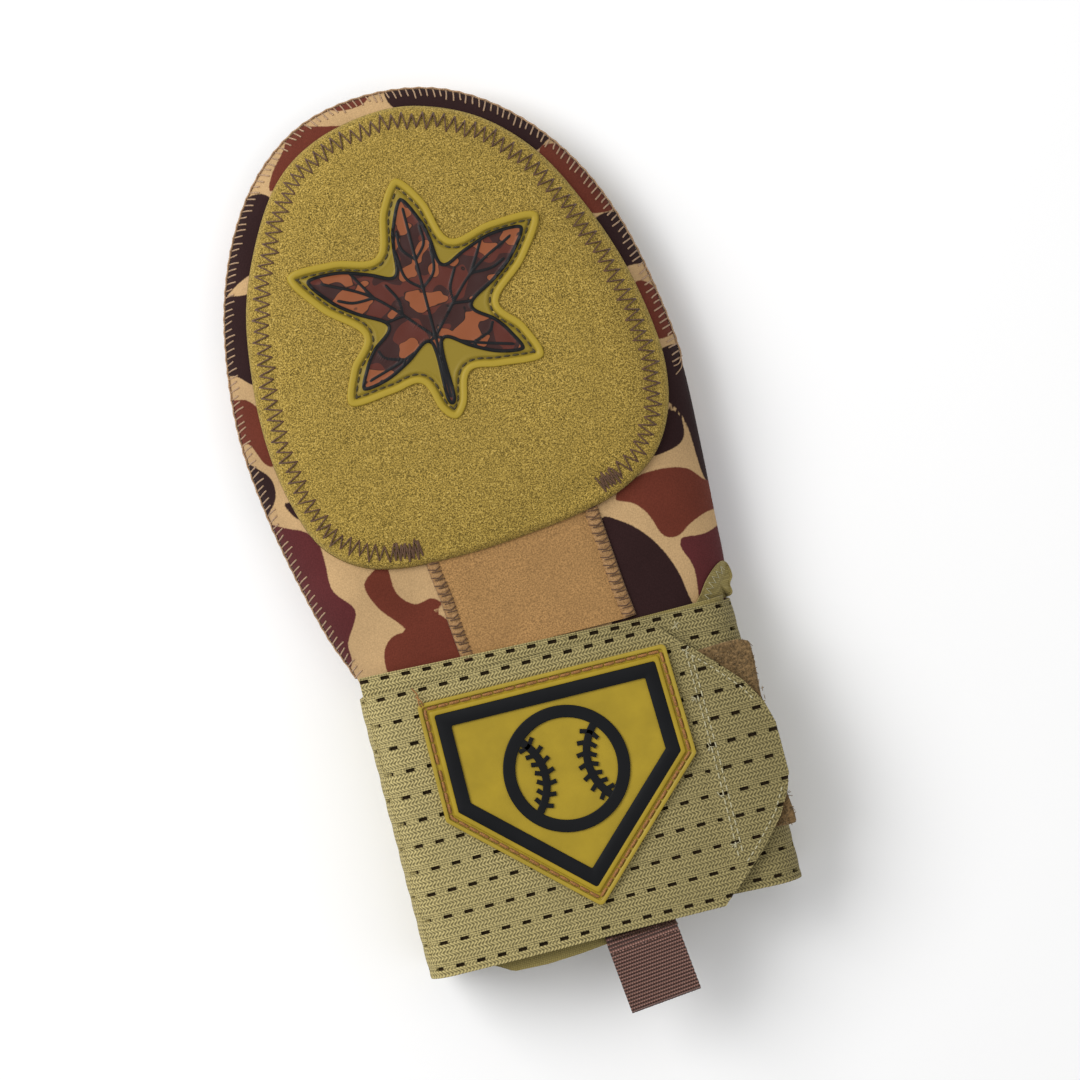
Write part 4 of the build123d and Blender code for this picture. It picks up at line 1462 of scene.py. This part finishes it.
def wrap_path():
    """Centreline of the first turn, from its sewn end right round to the left side."""
    return corner_path([
        (LOOP_LOW[0] - 36.4, UNDER_Z), (RIGHT_X, UNDER_Z), (RIGHT_X, BACK_Z), (LEFT_X, BACK_Z),
        (LEFT_X, SPLIT_Z)], 10.0, 10)


def end_path():
    """Centreline of the strap's free end."""
    end_z = (END_LOW[2] + END_HIGH[2]) / 2
    return np.array([(46.5, FRONT_Z + 0.1), (48.2, FRONT_Z + 0.15), (50.5, end_z), (74.8, end_z)])


def trim(piece, corners):
    """Cut a flat piece back to the left of each line of a chain of corners, in mm."""
    active(piece)
    bpy.ops.object.mode_set(mode="EDIT")
    bpy.ops.mesh.select_mode(type="VERT")
    for (x0, y0), (x1, y1) in zip(corners[:-1], corners[1:]):
        bpy.ops.mesh.select_all(action="SELECT")
        run = math.hypot(x1 - x0, y1 - y0)
        bpy.ops.mesh.bisect(plane_co=(x0 * MM, y0 * MM, 0), plane_no=((y1 - y0) / run, (x0 - x1) / run, 0),
                            clear_inner=True)
    bpy.ops.object.mode_set(mode="OBJECT")


# Cuts that shape the strap's free end and the corners of its front, from top to bottom, in mm.
TAIL_EDGE = [
    (48, -121.5), (60, -133.6), (68, -142.5), (72.6, -150.5), (75.2, -160), (75.4, -174), (73, -181.5),
    (68.5, -189.5), (60, -199), (50, -208.5), (44, -213.5),
]
FRONT_CUT = [(42, -115.5), (50, -123.5), (50, -208.5), (42, -215.4)]


class MITT_OT_cuff(bpy.types.Operator):
    """Olive sleeve under the strap, with its curved hem"""
    bl_idname = "mitt.cuff"
    bl_label = "Cuff sleeve"

    def execute(self, context):
        x0, x1 = SLEEVE_LOW[0] + 0.2, SLEEVE_HIGH[0] - 0.2
        z0, z1 = SLEEVE_LOW[2] + 0.2, SLEEVE_HIGH[2] - 0.2
        mid = (x0 + x1) / 2
        around = corner_path([(mid, z1), (x1, z1), (x1, z0), (x0, z0), (x0, z1), (mid, z1)], 9.0, 10)
        around = even(around, 1.6)[:-1]

        def hem(x, z):
            front = np.interp(x, [-59, -46, -37, -32, -20, -8, 6, 20, 34, 50, 69],
                              [-208, -211.5, -215.8, -218.8, -219.3, -218.6, -217, -215, -213, -211, -208])
            behind = np.interp(x, [-59, -30, 5, 40, 69], [-208, -215, -218.5, -215, -208])
            share = ease((z - 6) / 24)
            return behind + (front - behind) * share

        loops = []
        for t in np.linspace(0, 1, 74):
            x, z = around[:, 0], around[:, 1]
            y = -113.0 + (hem(x, z) + 113.0) * t
            bead = 0.35 * math.exp(-((1 - t) / 0.012) ** 2) - 0.25 * math.exp(-((1 - t - 0.045) / 0.008) ** 2)
            out = np.column_stack([x - mid, z - (z0 + z1) / 2])
            out /= np.linalg.norm(out, axis=1, keepdims=True)
            slack = 0.25 * ripple(x + z, y, 10) - 0.25 + bead
            loops.append(np.column_stack([x + out[:, 0] * slack, y, z + out[:, 1] * slack]))
        piece = merge(rings("cuff_cloth", loops))
        normals = np.empty(len(piece.data.polygons) * 3)
        piece.data.polygons.foreach_get("normal", normals)
        centres = np.empty(len(piece.data.polygons) * 3)
        piece.data.polygons.foreach_get("center", centres)
        outwards_now = (normals.reshape(-1, 3)[:, 2] * (centres.reshape(-1, 3)[:, 2] / MM - 18)).sum()
        if outwards_now < 0:
            active(piece)
            bpy.ops.object.mode_set(mode="EDIT")
            bpy.ops.mesh.select_all(action="SELECT")
            bpy.ops.mesh.flip_normals()
            bpy.ops.object.mode_set(mode="OBJECT")
        finish_modifier(piece, "SOLIDIFY", thickness=1.6 * MM, offset=-1)
        dress(shade(piece, 50), "mitt", olive_sleeve(), "olive_sleeve", "cuff_sleeve")
        return {"FINISHED"}


class MITT_OT_strap(bpy.types.Operator):
    """Perforated elastic: the turn round the cuff, the front and the free end, with their closure"""
    bl_idname = "mitt.strap"
    bl_label = "Elastic strap"

    def execute(self, context):
        width = STRAP_TOP - FRONT_LOW[1]

        def under_top(x, z):
            on_front = UNDER_TOP + np.interp(x, [-59, 70], [3.2, -2.2])
            behind = STRAP_TOP + (UNDER_TOP - 2.2 - STRAP_TOP) * ease((x + 57) / 120)
            climb = ease((z - 6) / 24) * ease(x / 40)
            return np.where(z > UNDER_Z - 0.5, on_front, behind + (on_front - behind) * climb)

        def strap_top(x, z):
            return np.full(len(np.atleast_1d(x)), STRAP_TOP)

        path = wrap_path()
        total = lengths(path)[-1]
        # Each band is laid twice: the slotted elastic and, just under it, a dark sheet of painted shade seen
        # through the slots.
        for name, sink, holes, thick in (
                ("strap_turn", 0.0, True, 1.25), ("strap_turn_slot_shadow", 0.78, False, 0.12)):
            piece = perforated(name, path, (0.0, total), width, under_top, thick, holes, sink=sink)
            material = olive_elastic() if holes else elastic_back()
            dress(piece, "mitt", material, "olive_elastic", *(["elastic_wrap"] if holes else []))

        path = strap_path()
        # Slotted front, and under it a dark sheet of painted shade for its slots.
        for name, sink, holes, thick in (
                ("strap_front", 0.0, True, 1.25), ("strap_front_slot_shadow", 0.78, False, 0.12)):
            piece = perforated(
                name, path, (0, lengths(path)[-1] - 1.5), width, strap_top, thick, holes, sink=sink,
                outline=FRONT_CUT)
            piece.data.materials.append(olive_elastic() if holes else elastic_back())
            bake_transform(piece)
            if holes:
                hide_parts("strap_front_band")

        path = end_path()
        # Slotted free end, and under it a dark sheet of painted shade for its slots.
        for name, sink, holes, thick in (
                ("strap_end", 0.0, True, 1.2), ("strap_end_slot_shadow", 0.75, False, 0.12)):
            piece = perforated(
                name, path, (0, lengths(path)[-1]), width, strap_top, thick, holes, sink=sink,
                outline=TAIL_EDGE)
            piece.data.materials.append(olive_elastic() if holes else elastic_back())
            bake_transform(piece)
            if holes:
                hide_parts("strap_end_band")

        def pile_panel(name, low, high, outline, rough):
            edge = even(smooth(outline, steps=6), 0.9, closed=True)
            middle = edge.mean(axis=0)
            loops = []
            half_way = (low + high) / 2
            for share, z in ((0.02, low), (0.98, low), (1.0, half_way), (0.992, high - 0.15), (0.975, high),
                             *[(s, high) for s in np.linspace(0.96, 0.02, 30)]):
                flat = middle + (edge - middle) * share
                up = rough * ripple(flat[:, 0], flat[:, 1], 1.3) * (z > half_way)
                loops.append(np.column_stack([flat, z + up]))
            piece = rings(name, loops)
            fill_middle(piece, lambda p: np.hypot(p[:, 0] - middle[0], p[:, 1] - middle[1]) < 2.2)
            return shade(merge(piece, 0.02), 60)

        left, top, low = LOOP_LOW[0], LOOP_HIGH[1], LOOP_LOW[1]
        box = [(left + 1, top), (20, top + 0.3), (60, top + 3.2), (71.5, top + 2.4), (73.2, top - 2),
               (72.4, -150), (73, -165), (72.6, -180), (73.4, low + 2), (71.5, low), (60, low + 0.4),
               (20, low), (left + 1, low), (left, -165)]
        loops = pile_panel("loop_pile", LOOP_LOW[2] + 0.05, LOOP_HIGH[2] - 0.1, box, 0.16)
        dress(loops, "mitt", loop_pile(), "loop_tan", "loop_panel")
        rng = np.random.default_rng(7)
        curls = []
        for _ in range(420):
            on_top = rng.random() < 0.6
            x = rng.uniform(58, 73.5)
            y = rng.uniform(top - 20, top + 2.6) if on_top else rng.uniform(low, -178)
            turn, reach = rng.uniform(0, math.pi), rng.uniform(0.35, 0.8)
            step = np.array([math.cos(turn), math.sin(turn)]) * reach
            high = rng.uniform(0.3, 0.75)
            base = LOOP_HIGH[2] - 0.35
            curls.append([(x + step[0] * share, y + step[1] * share, base + high * raised)
                          for share, raised in ((-1, 0), (-0.9, 1), (0.9, 1), (1, 0))])
        piece = tubes("loop_curls", curls, 0.11, 0)
        dress(piece, "mitt", loop_pile(), "loop_tan")

        hook = [(53.5, -132), (59, -137.5), (65.5, -145.5), (70.6, -156), (71.2, -173), (66.5, -184.5),
                (59, -193.5), (53.5, -199.5)]
        piece = pile_panel("hook_face", HOOK_LOW[2] + 0.02, HOOK_HIGH[2] - 0.3, hook, 0.05)
        dress(piece, "strap_end", loop_pile(), "hook_tan", "hook_panel")

        end_top = END_HIGH[2] + 0.12

        def dashes(points, z, gap=2.4, fill=0.62):
            curve = along(np.array(points, float), np.arange(0, lengths(np.array(points, float))[-1], 0.3))
            step = int(gap / 0.3)
            runs = []
            for begin in range(0, len(curve) - step, step):
                run = curve[begin:begin + max(3, int(step * fill)) + 1]
                lift = 0.22 * np.sin(np.linspace(0, math.pi, len(run))) - 0.1
                runs.append(np.column_stack([run, z + lift]))
            return runs

        lines = []
        lines += dashes([(51.2, -127.9), (58.2, -134.9), (66.2, -143.8), (70.6, -151.2)], end_top)
        lines += dashes([(71.2, -180.4), (66.9, -188.0), (58.4, -197.3), (51.4, -203.8)], end_top)
        lines += dashes([(51.2, -128.4), (51.6, -165), (51.2, -203)], end_top, 3.0)
        lines += dashes([(52.8, -130), (53.2, -165), (52.9, -201.5)], end_top, 3.0)
        piece = tubes("strap_end_stitches", lines, 0.24, 1)
        dress(piece, "strap_end", pale_thread(), "tan_thread", "strap_end_stitching")
        rng = np.random.default_rng(3)
        tufts = []
        for x, y in ((50, -118.5), (51.5, -127.5), (50.5, -144), (51, -161), (50.2, -178), (51, -195)):
            for _ in range(5):
                turn = rng.uniform(0, 2 * math.pi)
                step = np.array([math.cos(turn), math.sin(turn)])
                tufts.append([(x, y, end_top - 0.2), (x + step[0] * 0.9, y + step[1] * 0.9, end_top + 0.5),
                              (x + step[0] * 1.5, y + step[1] * 1.5, end_top - 0.1)])
        piece = tubes("strap_end_tufts", tufts, 0.14, 0)
        dress(piece, "strap_end", pale_thread(), "tan_thread")
        return {"FINISHED"}


class MITT_OT_badge(bpy.types.Operator):
    """Five-sided rubber badge: rim, stitched groove, dark border, recessed field and ball mark"""
    bl_idname = "mitt.badge"
    bl_label = "Badge"

    def execute(self, context):
        corners = [(-41.3, -122.6), (45.0, -123.4), (46.2, -161.8), (2.5, -204.1), (-41.5, -163.4)]
        low, top = BADGE_LOW[2] + 0.02, BADGE_HIGH[2]

        def plate(inset, round_to):
            """The badge's outline, set in with its corners kept sharp or rounded a little."""
            p = np.array(corners)
            moved = []
            for k in range(5):
                before, at, after = p[k - 1], p[k], p[(k + 1) % 5]
                u, v = (before - at) / np.linalg.norm(before - at), (after - at) / np.linalg.norm(after - at)
                half = math.acos(np.clip(u @ v, -1, 1)) / 2
                moved.append(at + (u + v) / np.linalg.norm(u + v) * inset / math.sin(half))
            moved = np.array(moved)
            start = (moved[-1] + moved[0]) / 2
            path = corner_path([start, *moved, start], round_to, 6)
            fine = [path[0]]
            for k, (a, b) in enumerate(zip(path[:-1], path[1:])):
                count = 12 if k % 7 == 0 else 1
                fine += [a + (b - a) * (j + 1) / count for j in range(count)]
            return np.array(fine[:-1])

        def band(name, steps, material, slot, *nodes):
            loops = [np.column_stack([plate(inset, round_to), np.full(len(plate(inset, round_to)), z)])
                     for inset, z, round_to in steps]
            piece = merge(rings(name, loops), 0.005)
            piece = shade(piece, 42)
            return dress(piece, "strap_front", material, slot, *nodes)

        rim = [(1.6, low, 1.2), (0.15, low, 1.6), (0, low + 0.3, 1.7), (0, top - 0.35, 1.7),
               (0.1, top - 0.08, 1.6), (0.35, top + 0.05, 1.5), (1.05, top + 0.05, 1.2),
               (1.3, top - 0.1, 1.1), (1.4, top - 0.85, 1.0), (1.6, top - 0.95, 1.0)]
        band("badge_rim", rim, rim_rubber(), "badge_yellow")
        field = [(1.2, low, 1.0), (1.2, top - 0.95, 1.0), (3.2, top - 0.95, 0.9), (3.35, top - 0.3, 0.9),
                 (3.6, top - 0.1, 0.9), (4.7, top - 0.1, 0.8), (4.9, top - 0.2, 0.8), (5.0, top - 0.7, 0.8),
                 (9.6, top - 0.7, 0.6), (16, top - 0.72, 0.5), (24, top - 0.74, 0.4)]
        loops = [np.column_stack([plate(i, r), np.full(len(plate(i, r)), z)]) for i, z, r in field]
        piece = rings("badge_plate", loops)
        fill_middle(piece, lambda p: np.abs(p[:, 2] - (top - 0.74)) < 0.005)
        dress(shade(merge(piece, 0.005), 42), "strap_front", yellow_rubber(), "badge_yellow", "badge_base")
        border = [(5.0, top - 0.72, 0.8), (5.0, top + 0.02, 0.8), (5.12, top + 0.1, 0.8),
                  (9.5, top + 0.1, 0.6), (9.62, top + 0.02, 0.6), (9.65, top - 0.72, 0.6)]
        band("badge_border_band", border, black_rubber(), "soft_black", "badge_border")

        ball_x, ball_y, radius = 2.4, -156.0, 19.4
        floor, peak = top - 0.8, top + 0.06

        def stroke(line, width, closed, peak):
            """A raised rubber line with eased edges."""
            line = even(np.array(line), 0.8, closed=closed)
            side = outward(line, closed=closed)
            loops = []
            half = [(0.5, floor), (0.5, peak - 0.14), (0.46, peak - 0.03), (0.4, peak)]
            for across, z in [(-reach, z) for reach, z in half] + half[::-1]:
                flat = line + side * across * width
                loops.append(np.column_stack([flat, np.full(len(flat), z)]))
            return loops

        pieces = []
        turn = np.linspace(0, 2 * np.pi, 160, endpoint=False)
        ring = np.column_stack([ball_x + radius * np.cos(turn), ball_y + radius * np.sin(turn)])
        pieces.append(rings("ball_ring", stroke(ring, 4.2, True, peak)))
        for side in (-1, 1):
            centre = ball_x + side * 25.0
            sweep = np.linspace(-0.83, 0.83, 60)
            arc = np.column_stack([centre - side * 17.5 * np.cos(sweep), ball_y + 17.5 * np.sin(sweep)])
            pieces.append(rings("ball_seam", stroke(arc, 2.6, False, peak - 0.05), closed=False))
            for k, angle in enumerate(np.linspace(-0.62, 0.62, 7)):
                spot = np.array([centre - side * 17.5 * math.cos(angle), ball_y + 17.5 * math.sin(angle)])
                away = np.array([-side * math.cos(angle), math.sin(angle)])
                slope = np.array([-away[1], away[0]]) * 1.2
                tick = [spot - away * 3.3 + slope, spot, spot + away * 3.3 + slope]
                loops = stroke(tick, 1.5, False, peak - 0.11 + 0.01 * k)
                pieces.append(rings("ball_tick", loops, closed=False))
        deselect()
        for piece in pieces:
            piece.select_set(True)
        bpy.context.view_layer.objects.active = pieces[0]
        bpy.ops.object.join()
        mark_piece = merge(named("badge_ball"), 0.003)
        dress(shade(mark_piece, 42), "strap_front", black_rubber(), "soft_black", "badge_ball_mark")

        lane = even(plate(2.3, 1.0), 0.35, closed=True)
        stitches = []
        for begin in range(0, len(lane) - 11, 11):
            run = lane[begin:begin + 10]
            lift = 0.35 * np.sin(np.linspace(0, math.pi, len(run)))
            stitches.append(np.column_stack([run + outward(run, closed=False) * 0.15, top - 0.85 + lift]))
        thread = tubes("badge_stitches", stitches, 0.52, 1)
        dress(thread, "strap_front", amber_thread(), "brown_thread", "badge_stitching")
        loose = [[(-39.4, -124.4, top - 0.6), (-40.4, -122.4, top + 0.6), (-40.2, -119.5, top - 0.2),
                  (-41.6, -116.6, top + 0.1)],
                 [(-39.0, -124.2, top - 0.6), (-39.5, -121.8, top + 0.8), (-40.9, -119.9, top - 0.8)]]
        piece = tubes("badge_loose_end", [smooth(run, closed=False, steps=5) for run in loose], 0.24, 1)
        dress(piece, "strap_front", amber_thread(), "brown_thread")
        return {"FINISHED"}


class MITT_OT_tab(bpy.types.Operator):
    """Folded webbing tab at the hem, and its sewn root"""
    bl_idname = "mitt.tab"
    bl_label = "Pull tab"

    def execute(self, context):
        mid_x = (TAB_LOW[0] + TAB_HIGH[0]) / 2
        half = (TAB_HIGH[0] - TAB_LOW[0]) / 2
        mid_z = (TAB_LOW[2] + TAB_HIGH[2]) / 2
        gap = (TAB_HIGH[2] - TAB_LOW[2]) / 2 - 0.65
        fold = TAB_LOW[1] + 0.7
        root = -213.0
        turn = np.linspace(0, np.pi, 18)
        bend = np.column_stack([fold + gap - gap * np.sin(turn), mid_z + gap * np.cos(turn)])
        upper = [(root, 36.9), (-217.2, 37.3), (-219.4, 37.5), (-221.5, mid_z + gap * 0.9)]
        lower = [(-221.5, mid_z - gap * 0.9), (-219.4, 36.6), (-217.2, 36.4), (root, 36.0)]
        line = even(np.vstack([upper, bend, lower]), 0.28)
        rib = sizes().rib_pitch
        run = lengths(line)
        side = outward(line, closed=False)
        columns = 48

        def place(across, up):
            share = across / columns * 2 - 1
            x = mid_x + share * half
            turned = (np.floor(run[up] / rib) % 2) * 0.5
            crown = np.abs(np.sin(run[up] / rib * np.pi))
            ribbed = 0.20 * crown + 0.08 * np.cos((x / 0.9 + turned) * 2 * np.pi)
            edge = 0.16 * crown * (np.abs(share) > 0.99)
            away = side[up] * ribbed[:, None]
            y = line[up, 0] + away[:, 0]
            lean = np.clip((-217 - y) / 25, 0, 1)
            return np.column_stack([x + lean * 2.6 + np.sign(share) * edge - 1.2,
                                    y + (x - mid_x) * 0.10 * ease((-214 - y) / 4), line[up, 1] + away[:, 1]])

        piece = cloth_grid("pull_tab_webbing", columns, len(line) - 1, place)
        u = np.tile(np.linspace(0, 2 * half, columns + 1), len(line))
        v = np.repeat(run, columns + 1)
        lay_flat(piece, u, v)
        face_outwards(piece, (0, -1, 0))
        finish_modifier(piece, "SOLIDIFY", thickness=1.0 * MM, offset=-1, use_even_offset=False)
        shade(piece, 60)
        piece.data.materials.append(brown_webbing())
        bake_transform(piece)
        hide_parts("pull_tab", "pull_tab_root")
        tack = []
        for k in range(34):
            x = mid_x - half + 0.8 + k * (2 * half - 1.6) / 33
            tack.append((x, -215.2 - (k % 2) * 1.6, 37.75))
        thread = tubes("tab_bartack", [tack], 0.26, 1)
        dress(thread, "mitt", brown_thread(), "brown_thread", "pull_tab_bartack")
        return {"FINISHED"}


class MITT_OT_tongue(bpy.types.Operator):
    """Small olive reinforcement at the thumb side, with a light zigzag"""
    bl_idname = "mitt.tongue"
    bl_label = "Thumb tongue"

    def execute(self, context):
        outline = smooth([
            (59.5, -114), (61.5, -110.5), (64.5, -106.5), (68.5, -103), (71.8, -101.6), (73.8, -103.4),
            (74.2, -107.5), (72.6, -110), (71.5, -114)], steps=6)
        edge = even(outline, 0.7, closed=True)
        middle = np.array([68.0, -108.5])

        def skin(flat, lift):
            x = np.minimum(flat[:, 0], 72.6)
            z = back_height(np.column_stack([x, flat[:, 1]]))
            return z + lift - 0.5 * np.maximum(flat[:, 0] - 71.5, 0)

        loops = []
        for share, lift in ((0.02, 0.15), (0.96, 0.15), (1.0, 0.5), (0.98, 0.95), (0.93, 1.1), (0.85, 0.85),
                            (0.6, 0.9), (0.3, 0.95), (0.02, 0.95)):
            flat = middle + (edge - middle) * share
            loops.append(np.column_stack([flat, skin(flat, lift)]))
        piece = rings("thumb_patch", loops)
        fill_middle(piece, lambda p: np.hypot(p[:, 0] - 68, p[:, 1] + 108.5) < 0.35)
        dress(shade(merge(piece, 0.01), 60), "mitt", olive_sleeve(), "olive_elastic", "thumb_tongue")
        line = smooth([(62.6, -112.5), (66, -107.6), (70, -104.4), (72.6, -103.6)], closed=False)
        side = outward(line, closed=False)
        spots = np.arange(0, lengths(line)[-1], 1.1)
        run = along(line, spots)
        reach = np.where(np.arange(len(spots)) % 2, -0.6, 1.7)
        way = np.stack([np.interp(spots, lengths(line), side[:, k]) for k in range(2)], axis=1)
        flat = run - way * reach[:, None]
        thread = tubes("thumb_patch_stitches", [np.column_stack([flat, skin(flat, 1.15)])], 0.2, 1)
        dress(thread, "mitt", pale_thread(), "tan_thread")
        return {"FINISHED"}


class MITT_OT_inside(bpy.types.Operator):
    """Finishes of the foam and the plates inside the pads"""
    bl_idname = "mitt.inside"
    bl_label = "Foam and plates"

    def execute(self, context):
        for side in ("back", "palm"):
            for node, material in ((side + "_pad_foam", pad_foam()), (side + "_plate", plate_plastic())):
                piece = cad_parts[node]
                piece.data.materials.clear()
                piece.data.materials.append(material)
        return {"FINISHED"}


FLOOR_Z = -0.0008
CAMERA_AT = (0.0130, -0.0791, 1.055)
CAMERA_TURN = math.radians(-14.5)
LAMPS = (  # name, place, size in metres, power in watts
    ("key", (-0.85, 0.6, 1.15), 1.0, 19),
    ("fill", (0.8, -0.3, 1.5), 1.6, 4))


class MITT_OT_stage(bpy.types.Operator):
    """Pale floor, soft light and the camera above the mitt"""
    bl_idname = "mitt.stage"
    bl_label = "Stage"

    def execute(self, context):
        deselect()
        bpy.ops.mesh.primitive_plane_add(size=8, location=(0, 0, FLOOR_Z))
        floor = named("floor")
        ground = bpy.data.materials.new("pale_floor")
        ground.use_nodes = True
        shader = ground.node_tree.nodes["Principled BSDF"]
        shader.inputs["Base Color"].default_value = (0.98, 0.98, 0.98, 1)
        shader.inputs["Roughness"].default_value = 0.9
        floor.data.materials.append(ground)
        world = bpy.data.worlds.new("studio")
        context.scene.world = world
        context.scene.view_settings.view_transform = "Standard"
        world.use_nodes = True
        world.node_tree.nodes["Background"].inputs["Color"].default_value = (1, 1, 1, 1)
        world.node_tree.nodes["Background"].inputs["Strength"].default_value = 0.50
        for name, where, size, power in LAMPS:
            light = bpy.data.lights.new(name, "AREA")
            light.size = size
            light.energy = power
            lamp = bpy.data.objects.new(name, light)
            context.scene.collection.objects.link(lamp)
            lamp.location = where
            aim = Vector((0, -0.06, 0)) - Vector(where)
            lamp.rotation_euler = aim.to_track_quat("-Z", "Y").to_euler()
        lens = bpy.data.cameras.new("camera")
        lens.lens = 100
        lens.sensor_width = 36
        eye = bpy.data.objects.new("camera", lens)
        context.scene.collection.objects.link(eye)
        eye.location = CAMERA_AT
        eye.rotation_euler = (0, 0, CAMERA_TURN)
        context.scene.camera = eye
        return {"FINISHED"}


class MITT_PT_panel(bpy.types.Panel):
    """The mitt's sizes, colours and pieces"""
    bl_idname = "MITT_PT_panel"
    bl_label = "Sliding Mitt"
    bl_space_type = "VIEW_3D"
    bl_region_type = "UI"
    bl_category = "Mitt"

    def draw(self, context):
        for group in (context.scene.mitt_sizes, context.scene.mitt_colours):
            box = self.layout.box()
            for name in group.bl_rna.properties.keys():
                if name not in ("rna_type", "name"):
                    box.prop(group, name)
        for operator in OPERATORS:
            self.layout.operator(operator.bl_idname)


OPERATORS = (
    MITT_OT_shells, MITT_OT_edge_thread, MITT_OT_pads, MITT_OT_gusset, MITT_OT_crest, MITT_OT_tongue,
    MITT_OT_cuff, MITT_OT_strap, MITT_OT_badge, MITT_OT_tab, MITT_OT_inside, MITT_OT_stage)
CLASSES = (MittSizes, MittColours, *OPERATORS, MITT_PT_panel)


def register():
    for part in CLASSES:
        bpy.utils.register_class(part)
    bpy.types.Scene.mitt_sizes = bpy.props.PointerProperty(type=MittSizes)
    bpy.types.Scene.mitt_colours = bpy.props.PointerProperty(type=MittColours)


def unregister():
    del bpy.types.Scene.mitt_colours
    del bpy.types.Scene.mitt_sizes
    for part in reversed(CLASSES):
        bpy.utils.unregister_class(part)


def main():
    register()
    for operator in OPERATORS:
        group, name = operator.bl_idname.split(".")
        getattr(getattr(bpy.ops, group), name)()


if __name__ == "__main__":
    main()
